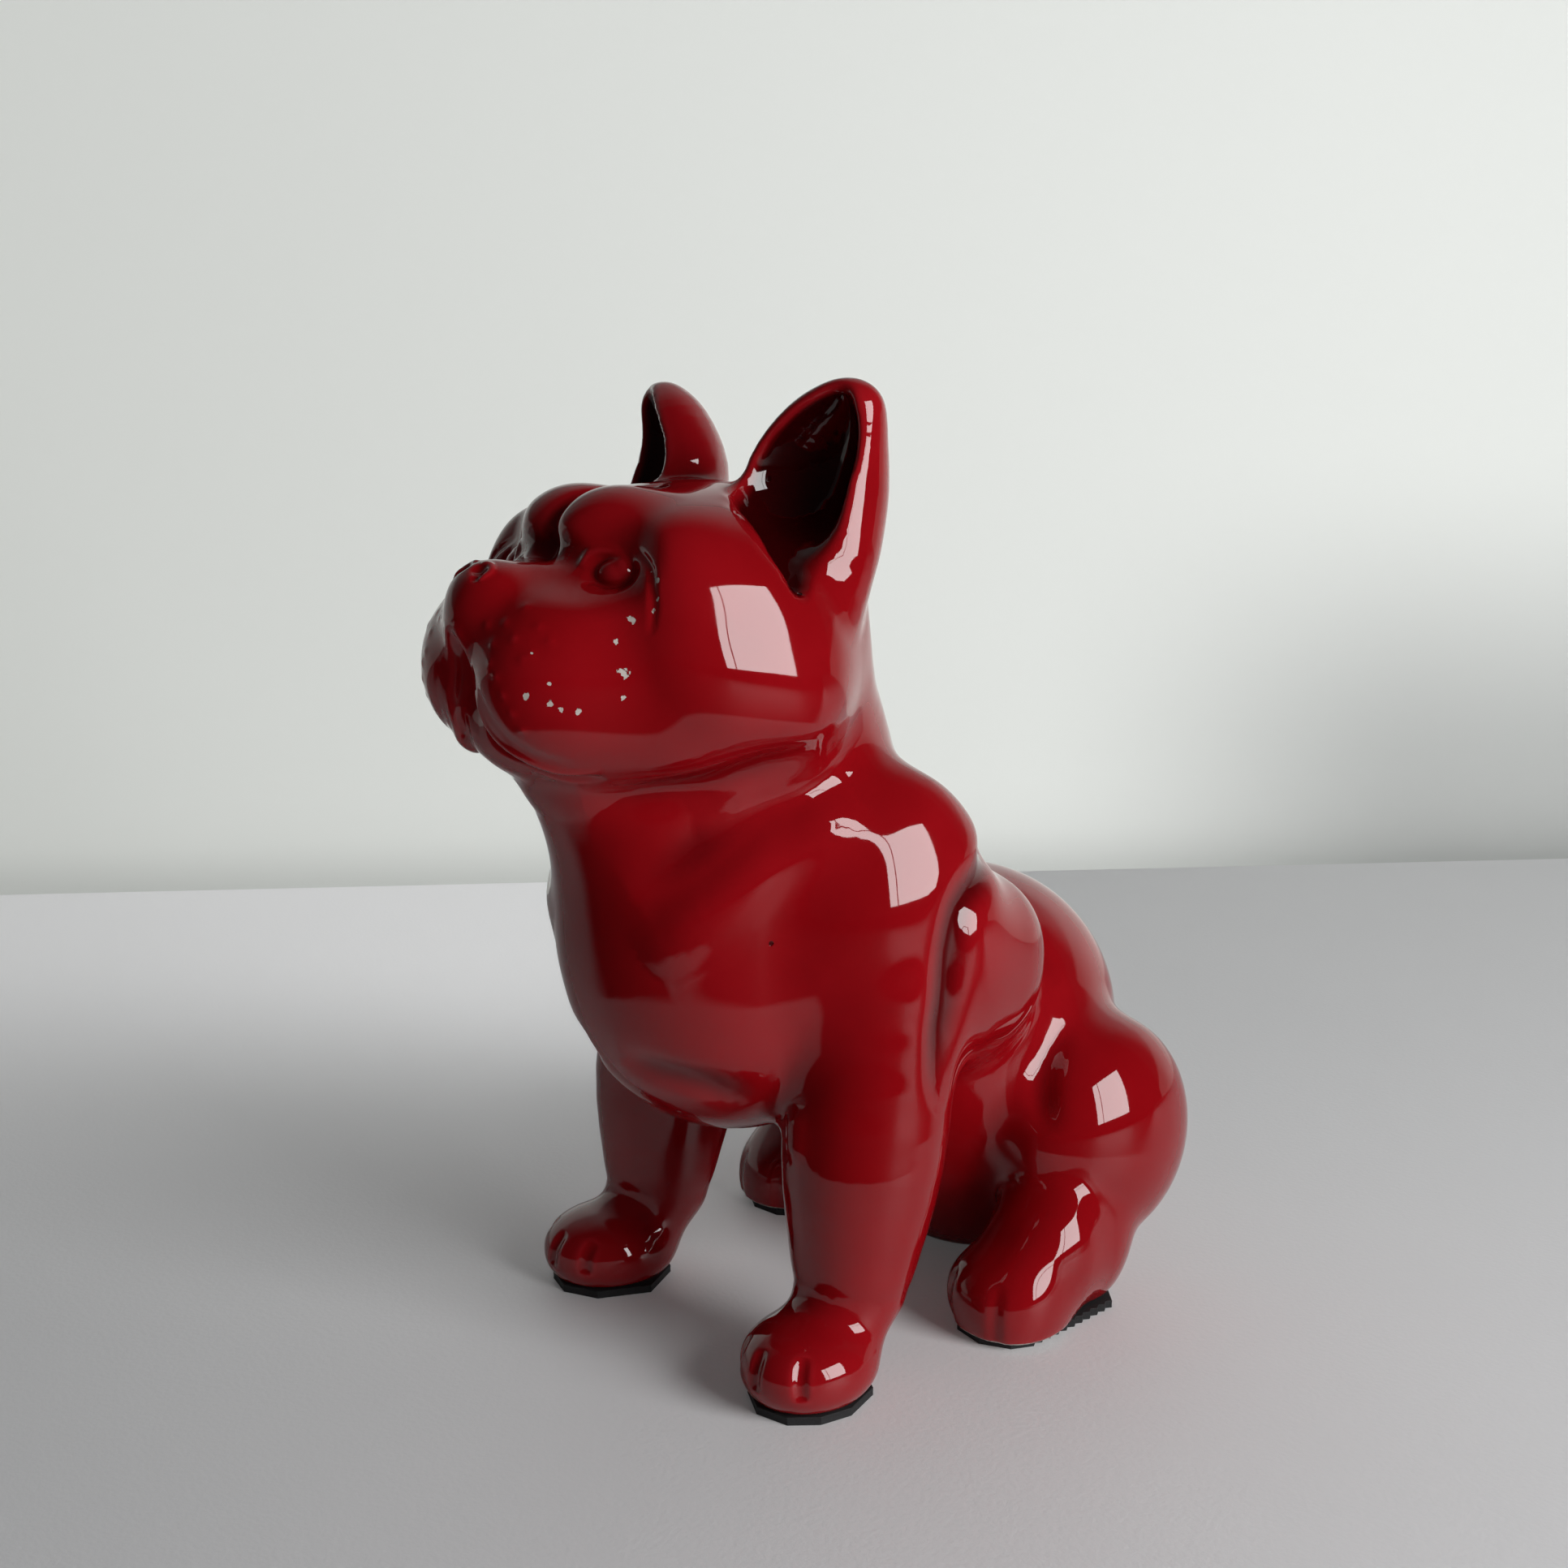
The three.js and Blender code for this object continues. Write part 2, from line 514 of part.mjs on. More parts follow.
// Collapses the edges that matter least, by the sum of squared distances to the planes round them.
function thin({ vertices, triangles }, budget, care) {
  const pos = Float64Array.from(vertices);
  const tri = Int32Array.from(triangles);
  const count = pos.length / 3;
  const alive = new Uint8Array(tri.length / 3).fill(1);
  const stamp = new Int32Array(count);
  const quadric = new Float64Array(count * 10);
  const around = Array.from({ length: count }, () => []);
  const normal = (a, b, c, out) => {
    const ux = pos[b] - pos[a], uy = pos[b + 1] - pos[a + 1], uz = pos[b + 2] - pos[a + 2];
    const vx = pos[c] - pos[a], vy = pos[c + 1] - pos[a + 1], vz = pos[c + 2] - pos[a + 2];
    out[0] = uy * vz - uz * vy;
    out[1] = uz * vx - ux * vz;
    out[2] = ux * vy - uy * vx;
    return Math.hypot(out[0], out[1], out[2]);
  };
  const n = [0, 0, 0];
  for (let f = 0; f < alive.length; f++) {
    const [a, b, c] = [tri[3 * f], tri[3 * f + 1], tri[3 * f + 2]];
    const size = normal(3 * a, 3 * b, 3 * c, n) || NO_AREA;
    const [x, y, z] = n.map((v) => v / size);
    const w = -(x * pos[3 * a] + y * pos[3 * a + 1] + z * pos[3 * a + 2]);
    const weight = size * care(pos[3 * a], pos[3 * a + 1], pos[3 * a + 2]);
    const terms = [x * x, x * y, x * z, x * w, y * y, y * z, y * w, z * z, z * w, w * w];
    for (const v of [a, b, c]) {
      around[v].push(f);
      for (let t = 0; t < 10; t++) quadric[10 * v + t] += weight * terms[t];
    }
  }
  const error = (q, x, y, z) =>
    q[0] * x * x + 2 * q[1] * x * y + 2 * q[2] * x * z + 2 * q[3] * x + q[4] * y * y +
    2 * q[5] * y * z + 2 * q[6] * y + q[7] * z * z + 2 * q[8] * z + q[9];
  const target = (a, b) => {
    const q = new Float64Array(10);
    for (let t = 0; t < 10; t++) q[t] = quadric[10 * a + t] + quadric[10 * b + t];
    const c0 = q[4] * q[7] - q[5] * q[5];
    const c1 = q[2] * q[5] - q[1] * q[7];
    const c2 = q[1] * q[5] - q[2] * q[4];
    const det = q[0] * c0 + q[1] * c1 + q[2] * c2;
    const trace = q[0] + q[4] + q[7];
    const pa = [pos[3 * a], pos[3 * a + 1], pos[3 * a + 2]];
    const pb = [pos[3 * b], pos[3 * b + 1], pos[3 * b + 2]];
    const middle = pa.map((v, i) => (v + pb[i]) / 2);
    if (det > WELL_PLACED * trace ** 3) {
      const c4 = q[0] * q[7] - q[2] * q[2];
      const c5 = q[1] * q[2] - q[0] * q[5];
      const c7 = q[0] * q[4] - q[1] * q[1];
      const best = [
        -(c0 * q[3] + c1 * q[6] + c2 * q[8]) / det,
        -(c1 * q[3] + c4 * q[6] + c5 * q[8]) / det,
        -(c2 * q[3] + c5 * q[6] + c7 * q[8]) / det,
      ];
      const strays = Math.hypot(...best.map((v, i) => v - middle[i]));
      const length = Math.hypot(...pa.map((v, i) => v - pb[i]));
      if (strays < 3 * length) return { cost: error(q, ...best), p: best };
    }
    const priced = [pa, pb, middle].map((p) => ({ cost: error(q, ...p), p }));
    return priced.reduce((least, other) => (other.cost < least.cost ? other : least));
  };
  const heap = [];
  const lift = (entry) => {
    let i = heap.push(entry) - 1;
    while (i > 0) {
      const up = (i - 1) >> 1;
      if (heap[up].cost <= heap[i].cost) break;
      [heap[up], heap[i]] = [heap[i], heap[up]];
      i = up;
    }
  };
  const take = () => {
    const top = heap[0];
    const last = heap.pop();
    if (heap.length) {
      heap[0] = last;
      let i = 0;
      for (;;) {
        let low = i;
        for (const child of [2 * i + 1, 2 * i + 2])
          if (child < heap.length && heap[child].cost < heap[low].cost) low = child;
        if (low === i) break;
        [heap[low], heap[i]] = [heap[i], heap[low]];
        i = low;
      }
    }
    return top;
  };
  const offer = (a, b) => {
    const { cost, p } = target(a, b);
    const length = Math.hypot(...[0, 1, 2].map((axis) => pos[3 * a + axis] - pos[3 * b + axis]));
    lift({ cost: cost + LENGTH_COST * length, a, b, p, when: stamp[a] + stamp[b] });
  };
  const neighbours = (v) => {
    const set = new Set();
    for (const f of around[v]) for (let c = 0; c < 3; c++) set.add(tri[3 * f + c]);
    set.delete(v);
    return set;
  };
  for (let v = 0; v < count; v++) for (const other of neighbours(v)) if (v < other) offer(v, other);
  const before = [0, 0, 0];
  const after = [0, 0, 0];
  const turnsOver = (v, other, p) => {
    const kept = [pos[3 * v], pos[3 * v + 1], pos[3 * v + 2]];
    for (const f of around[v]) {
      const c = [tri[3 * f], tri[3 * f + 1], tri[3 * f + 2]];
      if (c.includes(other)) continue;
      const old = normal(3 * c[0], 3 * c[1], 3 * c[2], before);
      pos.set(p, 3 * v);
      const now = normal(3 * c[0], 3 * c[1], 3 * c[2], after);
      pos.set(kept, 3 * v);
      const dot = before[0] * after[0] + before[1] * after[1] + before[2] * after[2];
      if (dot < LEAST_TURN * old * now) return true;
    }
    return false;
  };
  let left = alive.length;
  while (left > budget && heap.length) {
    const { a, b, p, when } = take();
    if (stamp[a] < 0 || stamp[b] < 0 || when !== stamp[a] + stamp[b]) continue;
    const ring = neighbours(a);
    const shared = [...neighbours(b)].filter((v) => ring.has(v)).length;
    if (!ring.has(b) || shared !== 2 || turnsOver(a, b, p) || turnsOver(b, a, p)) continue;
    pos.set(p, 3 * a);
    for (let t = 0; t < 10; t++) quadric[10 * a + t] += quadric[10 * b + t];
    for (const f of around[b]) {
      const c = [tri[3 * f], tri[3 * f + 1], tri[3 * f + 2]];
      if (c.includes(a)) {
        alive[f] = 0;
        left--;
        for (const v of c) if (v !== b) around[v] = around[v].filter((g) => g !== f);
      } else {
        tri[3 * f + c.indexOf(b)] = a;
        around[a].push(f);
      }
    }
    stamp[b] = -1;
    around[b] = [];
    stamp[a] += 1;
    for (const v of neighbours(a)) offer(a, v);
  }
  const index = new Map();
  const kept = { vertices: [], triangles: [] };
  for (let f = 0; f < alive.length; f++) {
    if (!alive[f]) continue;
    for (let c = 0; c < 3; c++) {
      const v = tri[3 * f + c];
      if (!index.has(v)) {
        index.set(v, index.size);
        kept.vertices.push(pos[3 * v], pos[3 * v + 1], pos[3 * v + 2]);
      }
      kept.triangles.push(index.get(v));
    }
  }
  return kept;
}

const wasm = await Module();
wasm.setup();

function toManifold(vertices, triangles) {
  const mesh = new wasm.Mesh({
    numProp: 3,
    vertProperties: Float32Array.from(vertices),
    triVerts: Uint32Array.from(triangles),
  });
  mesh.merge();
  return new wasm.Manifold(mesh);
}

function geometryToManifold(geometry) {
  const plain = geometry.index ? geometry.toNonIndexed() : geometry;
  const vertices = plain.attributes.position.array;
  return toManifold(vertices, Array.from({ length: vertices.length / 3 }, (_, i) => i));
}

function manifoldToGeometry(manifold) {
  const mesh = manifold.getMesh();
  const geometry = new THREE.BufferGeometry();
  geometry.setAttribute("position", new THREE.BufferAttribute(Float32Array.from(mesh.vertProperties), 3));
  geometry.setIndex(Array.from(mesh.triVerts));
  geometry.computeVertexNormals();
  return geometry;
}

// How much more a place matters than the trunk does, when triangles are given up.
const CARE = { face: 6, ears: 4, feet: 2, trunk: 1 };
const FACE = { above: skull(0, 0, -40)[2], before: skull(0, -25, 0)[1] };
const EARS_ABOVE = skull(0, 0, 28)[2];
const FEET_BELOW = 30;

function care(x, y, z) {
  if (z > FACE.above && y < FACE.before) return CARE.face;
  if (z > EARS_ABOVE) return CARE.ears;
  return z < FEET_BELOW ? CARE.feet : CARE.trunk;
}

function makeBody() {
  const clay = polygonise(sample(LOW, HIGH));
  const light = thin(clay, BODY_TRIANGLES, care);
  let body = toManifold(light.vertices, light.triangles);
  const ground = new THREE.BoxGeometry(GROUND.side, GROUND.side, GROUND.depth);
  ground.translate(0, 0, PAD_THICKNESS - GROUND.depth / 2);
  body = body.subtract(geometryToManifold(ground));
  const vent = new THREE.CylinderGeometry(VENT.radius, VENT.radius, 2 * VENT.depth, 32).rotateX(Math.PI / 2);
  vent.translate(HIP[0], HIP[1], PAD_THICKNESS);
  return manifoldToGeometry(body.subtract(geometryToManifold(vent)));
}

// The flat sole that the ground plane leaves on a squared ellipsoid, as a disc on plan.
function sole(at, radii, turn = 0) {
  const drop = (at[2] - PAD_THICKNESS) / radii[2];
  const share = (1 - drop ** SQUARENESS) ** (1 / SQUARENESS);
  return { at, radii: [radii[0] * share, radii[1] * share], turn: radians(turn) };
}

// Straight scissor cuts laid round the soles, a margin outside them; each corner is where two cuts meet.
function snippedOutline(soles, angles) {
  const cuts = angles.map((degrees) => {
    const n = [Math.cos(radians(degrees)), Math.sin(radians(degrees))];
    const reach = soles.map(({ at, radii, turn }) => {
      const across = n[0] * Math.cos(turn) + n[1] * Math.sin(turn);
      const along = n[1] * Math.cos(turn) - n[0] * Math.sin(turn);
      return at[0] * n[0] + at[1] * n[1] + Math.hypot(radii[0] * across, radii[1] * along);
    });
    return { n, reach: Math.max(...reach) + PAD_MARGIN };
  });
  return cuts.map((cut, i) => {
    const next = cuts[(i + 1) % cuts.length];
    const det = cut.n[0] * next.n[1] - cut.n[1] * next.n[0];
    return new THREE.Vector2(
      (cut.reach * next.n[1] - next.reach * cut.n[1]) / det,
      (next.reach * cut.n[0] - cut.reach * next.n[0]) / det,
    );
  });
}

// Small notches along one side of an outline, as left by short scissor bites.
// The side itself is a little bowed.
function notch(outline, side) {
  const a = outline[side];
  const b = outline[side + 1];
  const bites = Math.round(a.distanceTo(b) / SNIP_PITCH);
  const inward = new THREE.Vector2(a.y - b.y, b.x - a.x).setLength(1);
  const added = [];
  for (let i = 1; i < 2 * bites; i++) {
    const share = i / (2 * bites);
    const bite = i % 2 ? SNIP_DEPTH : 0;
    added.push(a.clone().lerp(b, share).addScaledVector(inward, bite - SNIP_BOW * Math.sin(Math.PI * share)));
  }
  return [...outline.slice(0, side + 1), ...added, ...outline.slice(side + 1)];
}

const PAW_CUTS = [20, 62, 110, 150, 205, 243, 285, 322, 350];
const FOOT_CUTS = [335, 2, 50, 95, 140, 182, 226, 262, 300];

function makePad(name, outline, side, back, material) {
  const shape = new THREE.Shape(outline.map((p) => new THREE.Vector2(side * p.x, p.y + back)));
  const geometry = new THREE.ExtrudeGeometry(shape, { depth: PAD_THICKNESS, bevelEnabled: false });
  const pad = new THREE.Mesh(geometry, material);
  pad.name = name;
  return pad;
}

const figurine = new THREE.Group();
figurine.name = "dog_statue";
const glaze = new THREE.MeshStandardMaterial({ name: "red_glaze", color: 0x8a0f18, roughness: 0.08 });
const rubber = new THREE.MeshStandardMaterial({ name: "black_rubber", color: 0x17171a, roughness: 0.8 });
const body = new THREE.Mesh(makeBody(), glaze);
body.name = "body";
figurine.add(body);

const pawOutline = snippedOutline([sole(PAW, PAW_RADII, PAW_TURN)], PAW_CUTS);
const footOutline = notch(snippedOutline([sole(TOE, TOE_RADII), sole(HEEL, HEEL_RADII)], FOOT_CUTS), 0);
figurine.add(makePad("front_left_pad", pawOutline, 1, 0, rubber.clone()));
figurine.add(makePad("front_right_pad", pawOutline, -1, 0, rubber.clone()));
figurine.add(makePad("hind_left_pad", footOutline, 1, 0, rubber.clone()));
figurine.add(makePad("hind_right_pad", footOutline, -1, RIGHT_FOOT_BACK, rubber.clone()));

// The origin goes to the middle of the footprint, on the table.
const box = new THREE.Box3().setFromObject(figurine);
const middle = box.getCenter(new THREE.Vector3());
for (const piece of figurine.children) piece.geometry.translate(-middle.x, -middle.y, -box.min.z);
figurine.userData.sculptingOrigin = [middle.x, middle.y, box.min.z];

export default figurine;
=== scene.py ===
"""A seated bulldog figurine: one red-glazed ceramic body standing on four hand-cut rubber pads.

The body is modelled as clay is: lumps and limbs are joined or carved with a rounded seam, lines and
dots are pressed into the result, and the zero level of that field of distances is the glazed surface.
The clay is worked in millimetres in its own frame; the pieces are moved to the row frame in metres.
"""

import logging
import math
from dataclasses import dataclass
from enum import Enum
from functools import partial, reduce
from typing import Callable, Protocol

import bpy
import numpy as np
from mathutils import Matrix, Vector

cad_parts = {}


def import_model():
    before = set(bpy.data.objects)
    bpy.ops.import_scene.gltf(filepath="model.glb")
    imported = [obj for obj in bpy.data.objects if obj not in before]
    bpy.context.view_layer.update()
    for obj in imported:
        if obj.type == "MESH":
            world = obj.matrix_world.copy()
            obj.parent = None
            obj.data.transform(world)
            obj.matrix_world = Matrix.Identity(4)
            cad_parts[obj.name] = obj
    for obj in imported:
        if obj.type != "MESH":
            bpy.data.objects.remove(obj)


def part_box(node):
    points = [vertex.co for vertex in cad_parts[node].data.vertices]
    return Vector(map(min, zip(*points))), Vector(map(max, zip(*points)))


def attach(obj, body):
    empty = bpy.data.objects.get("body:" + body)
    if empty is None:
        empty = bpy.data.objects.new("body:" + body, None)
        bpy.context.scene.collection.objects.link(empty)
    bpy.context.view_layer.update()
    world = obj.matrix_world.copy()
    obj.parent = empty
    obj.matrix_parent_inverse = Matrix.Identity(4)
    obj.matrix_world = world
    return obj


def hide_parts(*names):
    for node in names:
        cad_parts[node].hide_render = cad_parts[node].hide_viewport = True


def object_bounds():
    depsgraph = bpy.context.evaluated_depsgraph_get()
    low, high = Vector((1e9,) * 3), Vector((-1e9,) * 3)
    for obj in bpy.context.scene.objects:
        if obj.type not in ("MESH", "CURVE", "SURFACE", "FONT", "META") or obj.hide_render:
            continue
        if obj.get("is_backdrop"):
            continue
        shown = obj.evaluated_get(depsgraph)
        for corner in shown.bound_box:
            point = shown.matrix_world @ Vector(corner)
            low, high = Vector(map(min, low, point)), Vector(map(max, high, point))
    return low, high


LOG = logging.getLogger("figurine")

MM = 0.001
PHOTO_SIDE_PX = 1932

Pair = tuple[float, float]
Triple = tuple[float, float, float]
Points = tuple[Triple, ...]
Colour = tuple[float, float, float, float]
Array = np.ndarray
Field = Callable[[Array], Array]

BLACK: Colour = (0.0, 0.0, 0.0, 1.0)
WHITE: Colour = (1.0, 1.0, 1.0, 1.0)


def offset(base: Triple, x: float, y: float, z: float) -> Triple:
    """The point that lies x, y and z away from base."""
    return (base[0] + x, base[1] + y, base[2] + z)


def run(base: Triple, *steps: Triple) -> Points:
    """The points that lie the given steps away from base."""
    return tuple(offset(base, *step) for step in steps)


def opaque(colour: Triple, brightness: float = 1.0) -> Colour:
    """The colour times a brightness, with full alpha."""
    red, green, blue = (part * brightness for part in colour)
    return (red, green, blue, 1.0)


def join(a: Array, b: Array, width: float) -> Array:
    """Smooth union of two distances: the lesser one, less h squared times width / 4.

    Here h is the share of width by which the two distances are closer than width.

    Args:
        a: first distances.
        b: second distances.
        width: how far the rounded seam reaches.

    Returns:
        The joined distances.
    """
    h = np.maximum(width - np.abs(a - b), 0.0) / width
    return np.minimum(a, b) - h * h * width / 4.0


def carve(a: Array, b: Array, width: float) -> Array:
    """Distances of a with b cut away, the edge rounded over width."""
    return -join(-a, b, width)


def turned(x: Array, y: Array, degrees: float) -> tuple[Array, Array]:
    """x and y as read in axes that are turned by degrees about +Z."""
    c, s = math.cos(math.radians(degrees)), math.sin(math.radians(degrees))
    return x * c + y * s, y * c - x * s


def from_piece(p: Array, start: Array, end: Array) -> tuple[Array, Array]:
    """The squared gap from each point p to a straight piece, and how far along it the nearest place is.

    The share along is the part of the way from start to p that runs along the piece, kept from 0 to 1.

    Args:
        p: the points.
        start: the piece's start.
        end: the piece's end.

    Returns:
        The squared gaps and the shares.
    """
    way = end - start
    share = np.clip((p - start) @ way / max(1e-9, np.dot(way, way)), 0.0, 1.0)
    return ((p - start - share[:, None] * way) ** 2).sum(1), share


class Form(Protocol):
    """A shape that gives its distance from any points."""

    def distance(self, p: Array) -> Array:
        """Distances of the points p, below 0 inside."""


@dataclass(frozen=True)
class Lump:
    """An ellipsoid turned about +Z, squarer as its powers grow from 2, with a lean and a tilt.

    The lean raises it along its own y, and the tilt draws its sides inwards along x as they climb.

    With q the place divided by the radii, the distance is (|q| - 1) |q| / |q / radii|; a power other
    than 2 measures the first |q| as the sum of its parts' powers, to one over the power.
    """

    at: Triple
    radii: Triple
    turn: float = 0.0
    power: float = 2.0
    plan: float = 2.0
    lean: float = 0.0
    tilt: float = 0.0

    def distance(self, p: Array) -> Array:
        """Distances of the points p, below 0 inside."""
        px, py = turned(p[:, 0] - self.at[0], p[:, 1] - self.at[1], self.turn)
        pz = p[:, 2] - self.at[2] - self.lean * py
        px = px + self.tilt * pz
        qx, qy, qz = px / self.radii[0], py / self.radii[1], pz / self.radii[2]
        length = np.sqrt(qx * qx + qy * qy + qz * qz)
        slope = np.sqrt((qx / self.radii[0]) ** 2 + (qy / self.radii[1]) ** 2 + (qz / self.radii[2]) ** 2)
        slope = np.maximum(slope, 1e-6)
        if self.power == 2.0 and self.plan == 2.0:
            return (length - 1.0) * length / slope
        flat = (np.abs(qx) ** self.plan + np.abs(qy) ** self.plan) ** (self.power / self.plan)
        return ((flat + np.abs(qz) ** self.power) ** (1.0 / self.power) - 1.0) * length / slope


@dataclass(frozen=True)
class Limb:
    """A chain of round cones along a smooth curve: each stop is a point and the radius there."""

    SEAM = 2.0  # mm over which one cone runs into the next
    PIECES = 4  # cones between two stops

    stops: tuple[tuple[Triple, float], ...]

    def distance(self, p: Array) -> Array:
        """Distances of the points p: to each cone's axis, less the radius that far along it."""
        path = smooth_path(np.array([(*at, radius) for at, radius in self.stops]), self.PIECES)
        best = None
        for start, end in zip(path[:-1], path[1:]):
            gap, share = from_piece(p, start[:3], end[:3])
            cone = np.sqrt(gap) - start[3] - share * (end[3] - start[3])
            best = cone if best is None else join(best, cone, self.SEAM)
        return best


@dataclass(frozen=True)
class EarForm:
    """A limb in the ear's own axes: across the ear, out of its opening, and up, from the ear's tip."""

    tip: Triple
    stops: tuple[tuple[float, float, float, float], ...]
    turn: float
    width: float

    def distance(self, p: Array) -> Array:
        """Distances of the points p from the limb, with the way across divided by the width."""
        across, back = turned(p[:, 0] - self.tip[0], p[:, 1] - self.tip[1], self.turn)
        own = np.stack([across / self.width, -back, p[:, 2] - self.tip[2]], 1)
        chain = tuple(((a / self.width, out, up), r) for a, out, up, r in self.stops)
        return Limb(chain).distance(own)


@dataclass(frozen=True)
class Mass:
    """One form added to the clay, or cut from it.

    A foot mass sits further back on the right side, and a cut that is a shaded pool is darkened in the glaze, partly
    by glaze gathered there and partly by painted shade.
    """

    form: Form
    blend: float
    cut: bool = False
    pool: bool = True
    foot: bool = False


@dataclass(frozen=True)
class Stroke:
    """A line pressed into the clay (depth above 0) or raised on it (below 0), fading at its ends."""

    depth: float
    width: float
    points: tuple[Triple, ...]
    fade: Pair = (0.35, 0.35)
    foot: bool = False


@dataclass(frozen=True)
class Mark:
    """A dot pressed into the clay (depth above 0) or raised on it (below 0)."""

    depth: float
    width: float
    at: Triple


def smooth_path(points: Array, pieces: int = 5) -> Array:
    """A Catmull-Rom curve through the points.

    Between two points it is the cubic that leaves each one along the line between its neighbours.

    Args:
        points: the points that the curve passes through.
        pieces: how many straight pieces stand for each span.

    Returns:
        The curve's points.
    """
    if len(points) < 3:
        return points
    ends = np.vstack([2 * points[0] - points[1], points, 2 * points[-1] - points[-2]])
    p0, p1, p2, p3 = ends[:-3, None], ends[1:-2, None], ends[2:-1, None], ends[3:, None]
    t = (np.arange(pieces) / pieces)[None, :, None]
    curve = 0.5 * (
        2 * p1 + (p2 - p0) * t + (2 * p0 - 5 * p1 + 4 * p2 - p3) * t**2 + (3 * p1 - p0 - 3 * p2 + p3) * t**3
    )
    return np.vstack([curve.reshape(-1, points.shape[1]), points[-1:]])


class Clay:
    """Half a dog in clay, mirrored: masses joined in order, then lines and dots, then the flat soles."""

    FAR = 1000.0  # mm: a distance beyond every point
    REACH = 2.6  # how many of its widths away a stroke is still felt
    SKIN = 9.0  # mm from the masses within which strokes and marks are felt
    SETTLE_STEP = 0.5  # mm over which slopes are measured while points settle
    SETTLE_ROUNDS = 12
    SETTLE_SHARE = 0.8  # how much of each Newton step is taken
    FLATTEST = 0.2  # the least squared slope that a step is divided by

    def __init__(
        self,
        masses: list[Mass],
        strokes: list[Stroke],
        marks: list[Mark],
        foot_back: float,
        trims: list[tuple[Field, float]],
    ) -> None:
        """Keeps the masses and lays the strokes and marks onto their surface.

        Args:
            masses: the forms, in the order in which they are joined or cut.
            strokes: the lines, whose points are given near the surface.
            marks: the dots, whose points are given near the surface.
            foot_back: how much further back the right foot sits.
            trims: fields that are cut away last, each with its edge's rounding.
        """
        self.masses = masses
        self.foot_back = foot_back
        self.trims = trims
        lines = [np.array(stroke.points) for stroke in strokes]
        rough = self._settled(lines + [np.array([mark.at]) for mark in marks])
        paths = self._settled([smooth_path(points) for points in rough[: len(strokes)]])
        self.strokes = [(stroke, *self._laid(stroke, path)) for stroke, path in zip(strokes, paths)]
        self.marks = [(mark, points[0]) for mark, points in zip(marks, rough[len(strokes) :])]

    def _settled(self, runs: list[Array]) -> list[Array]:
        """Several runs of points, settled together."""
        ends = np.cumsum([len(points) for points in runs])[:-1]
        return np.split(self.settle(np.vstack(runs)), ends)

    @staticmethod
    def _laid(stroke: Stroke, path: Array) -> tuple[Array, Array, Array, float]:
        """A stroke's path, the strength along it, and a ball round it."""
        share = np.linspace(0.0, 1.0, len(path))
        strength = np.ones(len(path))
        for fade, inward in zip(stroke.fade, (share, 1.0 - share)):
            if fade > 0:
                strength = np.minimum(strength, np.sin(np.clip(inward / fade, 0.0, 1.0) * math.pi / 2))
        centre = (path.min(0) + path.max(0)) / 2
        return path, strength, centre, float(np.linalg.norm(path - centre, axis=1).max())

    def _mirrored(self, p: Array) -> tuple[Array, Array]:
        """The points p brought to the left side, and again as the foot masses see them."""
        side = p.copy()
        side[:, 0] = np.abs(p[:, 0])
        foot = side.copy()
        foot[:, 1] -= np.where(p[:, 0] < 0, self.foot_back, 0.0)
        return side, foot

    def mass(self, p: Array, filled: bool = False) -> Array:
        """Distances of the points p from the masses alone, with the shaded pools filled up if asked."""
        side, foot = self._mirrored(p)
        d = np.full(len(p), self.FAR)
        for mass in self.masses:
            if filled and mass.cut and mass.pool:
                continue
            value = mass.form.distance(foot if mass.foot else side)
            d = carve(d, value, mass.blend) if mass.cut else join(d, value, mass.blend)
        return d

    def settle(self, p: Array) -> Array:
        """The points p moved onto the surface of the masses by Newton steps along the slope."""
        p = p.astype(float).copy()
        for _ in range(self.SETTLE_ROUNDS):
            slope = self._slope(self.mass, p, self.SETTLE_STEP) / (2 * self.SETTLE_STEP)
            step = self.SETTLE_SHARE * self.mass(p) / np.maximum(self.FLATTEST, (slope**2).sum(1))
            p -= step[:, None] * slope
        return p

    @staticmethod
    def _slope(distance: Field, p: Array, step: float) -> Array:
        """How much a distance grows from one step before each point p to one step after, along each axis."""
        return np.stack([distance(p + e) - distance(p - e) for e in np.eye(3) * step], 1)

    def modelled(self, p: Array) -> Array:
        """Distances of the points p with the strokes and marks pressed in.

        A stroke adds depth * strength * exp(-(gap / width)^2), where gap is the distance to its path
        and strength is read at the nearest place on it. A mark adds the same round one point.
        """
        d = self.mass(p)
        near = np.abs(d) < self.SKIN
        side, foot = self._mirrored(p[near])
        added = np.zeros(len(side))
        for stroke, path, strength, centre, radius in self.strokes:
            own = foot if stroke.foot else side
            reach = radius + self.REACH * stroke.width
            found = np.nonzero(((own - centre) ** 2).sum(1) < reach**2)[0]
            if len(found):
                gap, power = self._nearest(own[found], path, strength)
                added[found] += stroke.depth * power * np.exp(-gap / stroke.width**2)
        for mark, at in self.marks:
            gap = ((side - at) ** 2).sum(1)
            added += mark.depth * np.exp(-gap / mark.width**2)
        d[near] += added
        return d

    @staticmethod
    def _nearest(p: Array, path: Array, strength: Array) -> tuple[Array, Array]:
        """The squared gap from each point p to a path, and the strength at the nearest place on it."""
        best = np.full(len(p), np.inf)
        power = np.zeros(len(p))
        for start, end, first, last in zip(path[:-1], path[1:], strength[:-1], strength[1:]):
            gap, share = from_piece(p, start, end)
            closer = gap < best
            best = np.where(closer, gap, best)
            power = np.where(closer, first + share * (last - first), power)
        return best, power

    def distance(self, p: Array) -> Array:
        """Distances of the points p from the finished clay, trims included."""
        d = self.modelled(p)
        for trim, rounding in self.trims:
            d = carve(d, trim(p), rounding)
        return d

